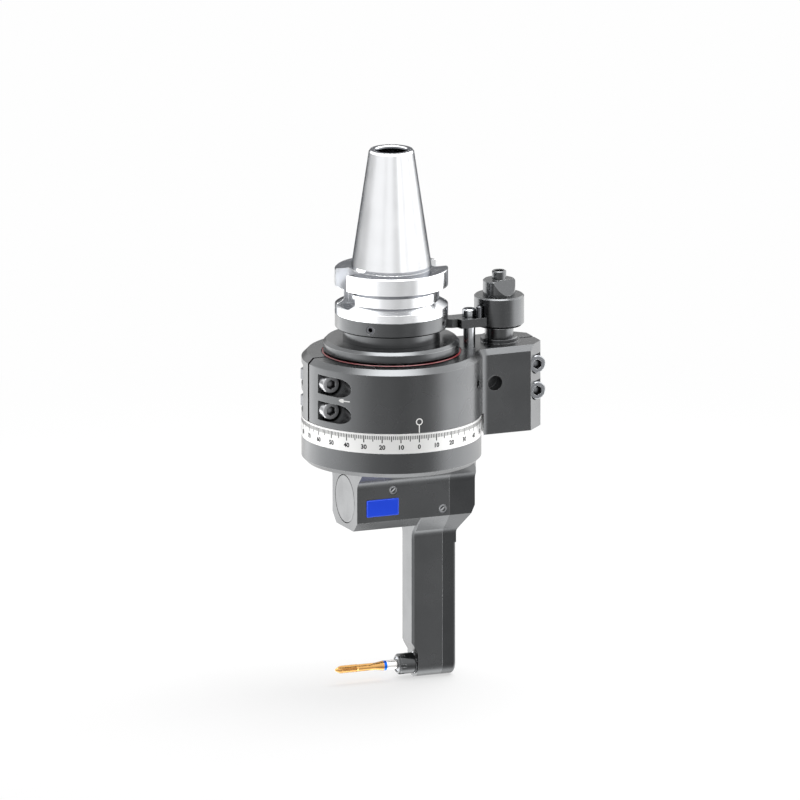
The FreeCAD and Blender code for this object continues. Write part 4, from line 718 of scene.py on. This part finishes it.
# %% Light tent
CAMERA_AZIMUTH, CAMERA_ELEVATION = math.radians(-23.0), math.radians(13.4)
LOW_LEVELS = [(-180, 0.9), (-152, 1.6), (-136, 3.8), (-128, 4.2), (-106, 4.6), (-89, 4.1), (-74, 3.7), (-60, 2.9),
              (-47, 2.15), (-35, 1.55), (-23, 1.0), (-11, 0.84), (0, 0.76), (11, 0.68), (35, 0.62), (48, 0.64),
              (59, 1.35), (69, 2.9), (80, 4.5), (106, 4.7), (128, 3.7), (145, 2.2), (160, 1.4), (180, 0.9)]
HIGH_LEVELS = [(-180, 0.25), (-140, 0.48), (-114, 0.66), (-98, 0.65), (-84, 0.82), (-74, 1.02), (-60, 1.1),
               (-47, 1.13), (-34, 1.11), (-26, 0.98), (-18, 1.09), (-8, 1.17), (2, 1.1), (9, 0.9), (16, 0.84),
               (24, 0.86), (30, 1.5), (37, 1.5), (44, 1.15), (50, 1.12), (58, 1.4), (74, 1.5), (86, 1.12),
               (96, 1.2), (106, 1.7), (118, 1.6), (130, 1.0), (150, 0.5), (180, 0.25)]
UPPER_LEVELS = [(-180, 0.82), (-160, 1.1), (-134, 2.2), (-100, 2.0), (-60, 1.6), (0, 1.5), (60, 1.8), (100, 3.0),
                (134, 4.4), (160, 1.4), (180, 0.82)]
TOP_LEVEL, UNDER_LEVEL, MATT_LEVEL = 11.0, 4.0, 0.75
LOW_EDGE, UPPER_EDGE, TOP_EDGE, UNDER_EDGE = (-0.215, -0.155), (0.09, 0.22), (0.88, 0.95), (-0.86, -0.95)


def direction(azimuth, elevation):
    """Unit vector from the head towards a place round it."""
    return Vector((math.sin(azimuth) * math.cos(elevation), -math.cos(azimuth) * math.cos(elevation),
                   math.sin(elevation)))


world = bpy.data.worlds.new("light_tent")
bpy.context.scene.world = world
world.use_nodes = True
world.node_tree.nodes.clear()
tent = world.node_tree
ray = add(tent, "LightPath")
looking = add(tent, "TexCoord").outputs["Generated"]
forward = add(tent, "VectorMath", {1: direction(CAMERA_AZIMUTH, 0)}, {0: looking},
              operation="DOT_PRODUCT").outputs["Value"]
sideways = add(tent, "VectorMath", {1: direction(CAMERA_AZIMUTH + math.pi / 2, 0)}, {0: looking},
               operation="DOT_PRODUCT").outputs["Value"]
steepness = add(tent, "SeparateXYZ", links={"Vector": looking}).outputs["Z"]
angle = add(tent, "Math", links={0: sideways, 1: forward}, operation="ARCTAN2").outputs[0]
turned = add(tent, "MapRange", {"From Min": -math.pi, "From Max": math.pi}, {"Value": angle}).outputs["Result"]
BRIGHTEST = max(level for degrees, level in LOW_LEVELS + HIGH_LEVELS + UPPER_LEVELS)


def brightness_curve(curve):
    """Brightness of the tent's wall from its (angle from the front in degrees, level) pairs."""
    ramp = add(tent, "ValToRGB", links={"Fac": turned})
    stops = ramp.color_ramp.elements
    while len(stops) < len(curve):
        stops.new(0.5)
    for stop, (degrees, level) in zip(stops, curve):
        stop.position = (degrees + 180) / 360
        stop.color = [level / BRIGHTEST] * 3 + [1.0]
    return add(tent, "Math", {1: BRIGHTEST}, {0: ramp.outputs["Color"]}, operation="MULTIPLY").outputs[0]


lifted, raised, above, below = [
    add(tent, "MapRange", {"From Min": first, "From Max": last}, {"Value": steepness},
        interpolation_type="SMOOTHSTEP").outputs["Result"]
    for first, last in (LOW_EDGE, UPPER_EDGE, TOP_EDGE, UNDER_EDGE)]
near_level = add(tent, "Mix", links={"Factor": lifted, "A": brightness_curve(LOW_LEVELS),
                                     "B": brightness_curve(HIGH_LEVELS)}).outputs["Result"]
sides = add(tent, "Mix", links={"Factor": raised, "A": near_level,
                                "B": brightness_curve(UPPER_LEVELS)}).outputs["Result"]
with_top = add(tent, "Mix", {"B": TOP_LEVEL}, {"Factor": above, "A": sides}).outputs["Result"]
reflected = add(tent, "Mix", {"B": UNDER_LEVEL}, {"Factor": below, "A": with_top}).outputs["Result"]
matt = add(tent, "Mix", {"A": MATT_LEVEL}, {"Factor": ray.outputs["Is Glossy Ray"], "B": reflected}).outputs["Result"]
plain = add(tent, "Math", links={0: ray.outputs["Is Camera Ray"], 1: ray.outputs["Is Transmission Ray"]},
            operation="MAXIMUM").outputs[0]
strength = add(tent, "Mix", {"B": 1.0}, {"Factor": plain, "A": matt}).outputs["Result"]
surround = add(tent, "Background", {"Color": linear("ffffff")}, {"Strength": strength})
tent.links.new(surround.outputs[0], add(tent, "OutputWorld").inputs[0])
world.cycles.sampling_method = "NONE"
print("brightest side panel:", BRIGHTEST)

# %% [markdown]
# The camera looks from the front left and slightly above, as the picture was taken. The view is parallel, so
# upright edges stay upright, and the scale is fixed by the picture: 1.8 pixels to a millimetre.

# %% Camera
PIXELS_PER_METRE, IMAGE_SIZE = 1800.0, 800
ORIGIN_PIXEL = (391.4, 263.7)

back = direction(CAMERA_AZIMUTH, CAMERA_ELEVATION)
turn = (-back).to_track_quat("-Z", "Y")
right, up = turn @ Vector((1, 0, 0)), turn @ Vector((0, 1, 0))
target = (right * (IMAGE_SIZE / 2 - ORIGIN_PIXEL[0]) + up * (ORIGIN_PIXEL[1] - IMAGE_SIZE / 2)) / PIXELS_PER_METRE
camera_data = bpy.data.cameras.new("camera")
camera_data.type = "ORTHO"
camera_data.ortho_scale = IMAGE_SIZE / PIXELS_PER_METRE
camera = bpy.data.objects.new("camera", camera_data)
bpy.context.scene.collection.objects.link(camera)
camera.rotation_mode = "QUATERNION"
camera.rotation_quaternion = turn
camera.location = target + back * 2.0
camera_data.clip_end = 12.0
bpy.context.scene.camera = camera
print("camera looks at", [round(c, 4) for c in target])

# %% [markdown]
# One large lamp hangs above and behind to the right. It gives the floor its soft shadow and matt surfaces some
# shape. Its own reflection is switched off, because the tent already stands for what the metal sees.

# %% Overhead lamp
LAMP_SIZE, LAMP_DISTANCE, LAMP_LEVEL = 1.3, 1.4, 3.0
overhead = bpy.data.lights.new("overhead_softbox", "AREA")
overhead.size = LAMP_SIZE
overhead.energy = LAMP_LEVEL * math.pi * LAMP_SIZE ** 2
lamp = bpy.data.objects.new("overhead_softbox", overhead)
bpy.context.scene.collection.objects.link(lamp)
away = direction(CAMERA_AZIMUTH + math.radians(140), math.radians(62))
lamp.location = Vector((0, 0, -0.15)) + away * LAMP_DISTANCE
lamp.rotation_mode = "QUATERNION"
lamp.rotation_quaternion = (-away).to_track_quat("-Z", "Y")
lamp.visible_camera = lamp.visible_glossy = False
bpy.context.scene.view_settings.view_transform = "Standard"
print("lamp at", [round(c, 2) for c in lamp.location])
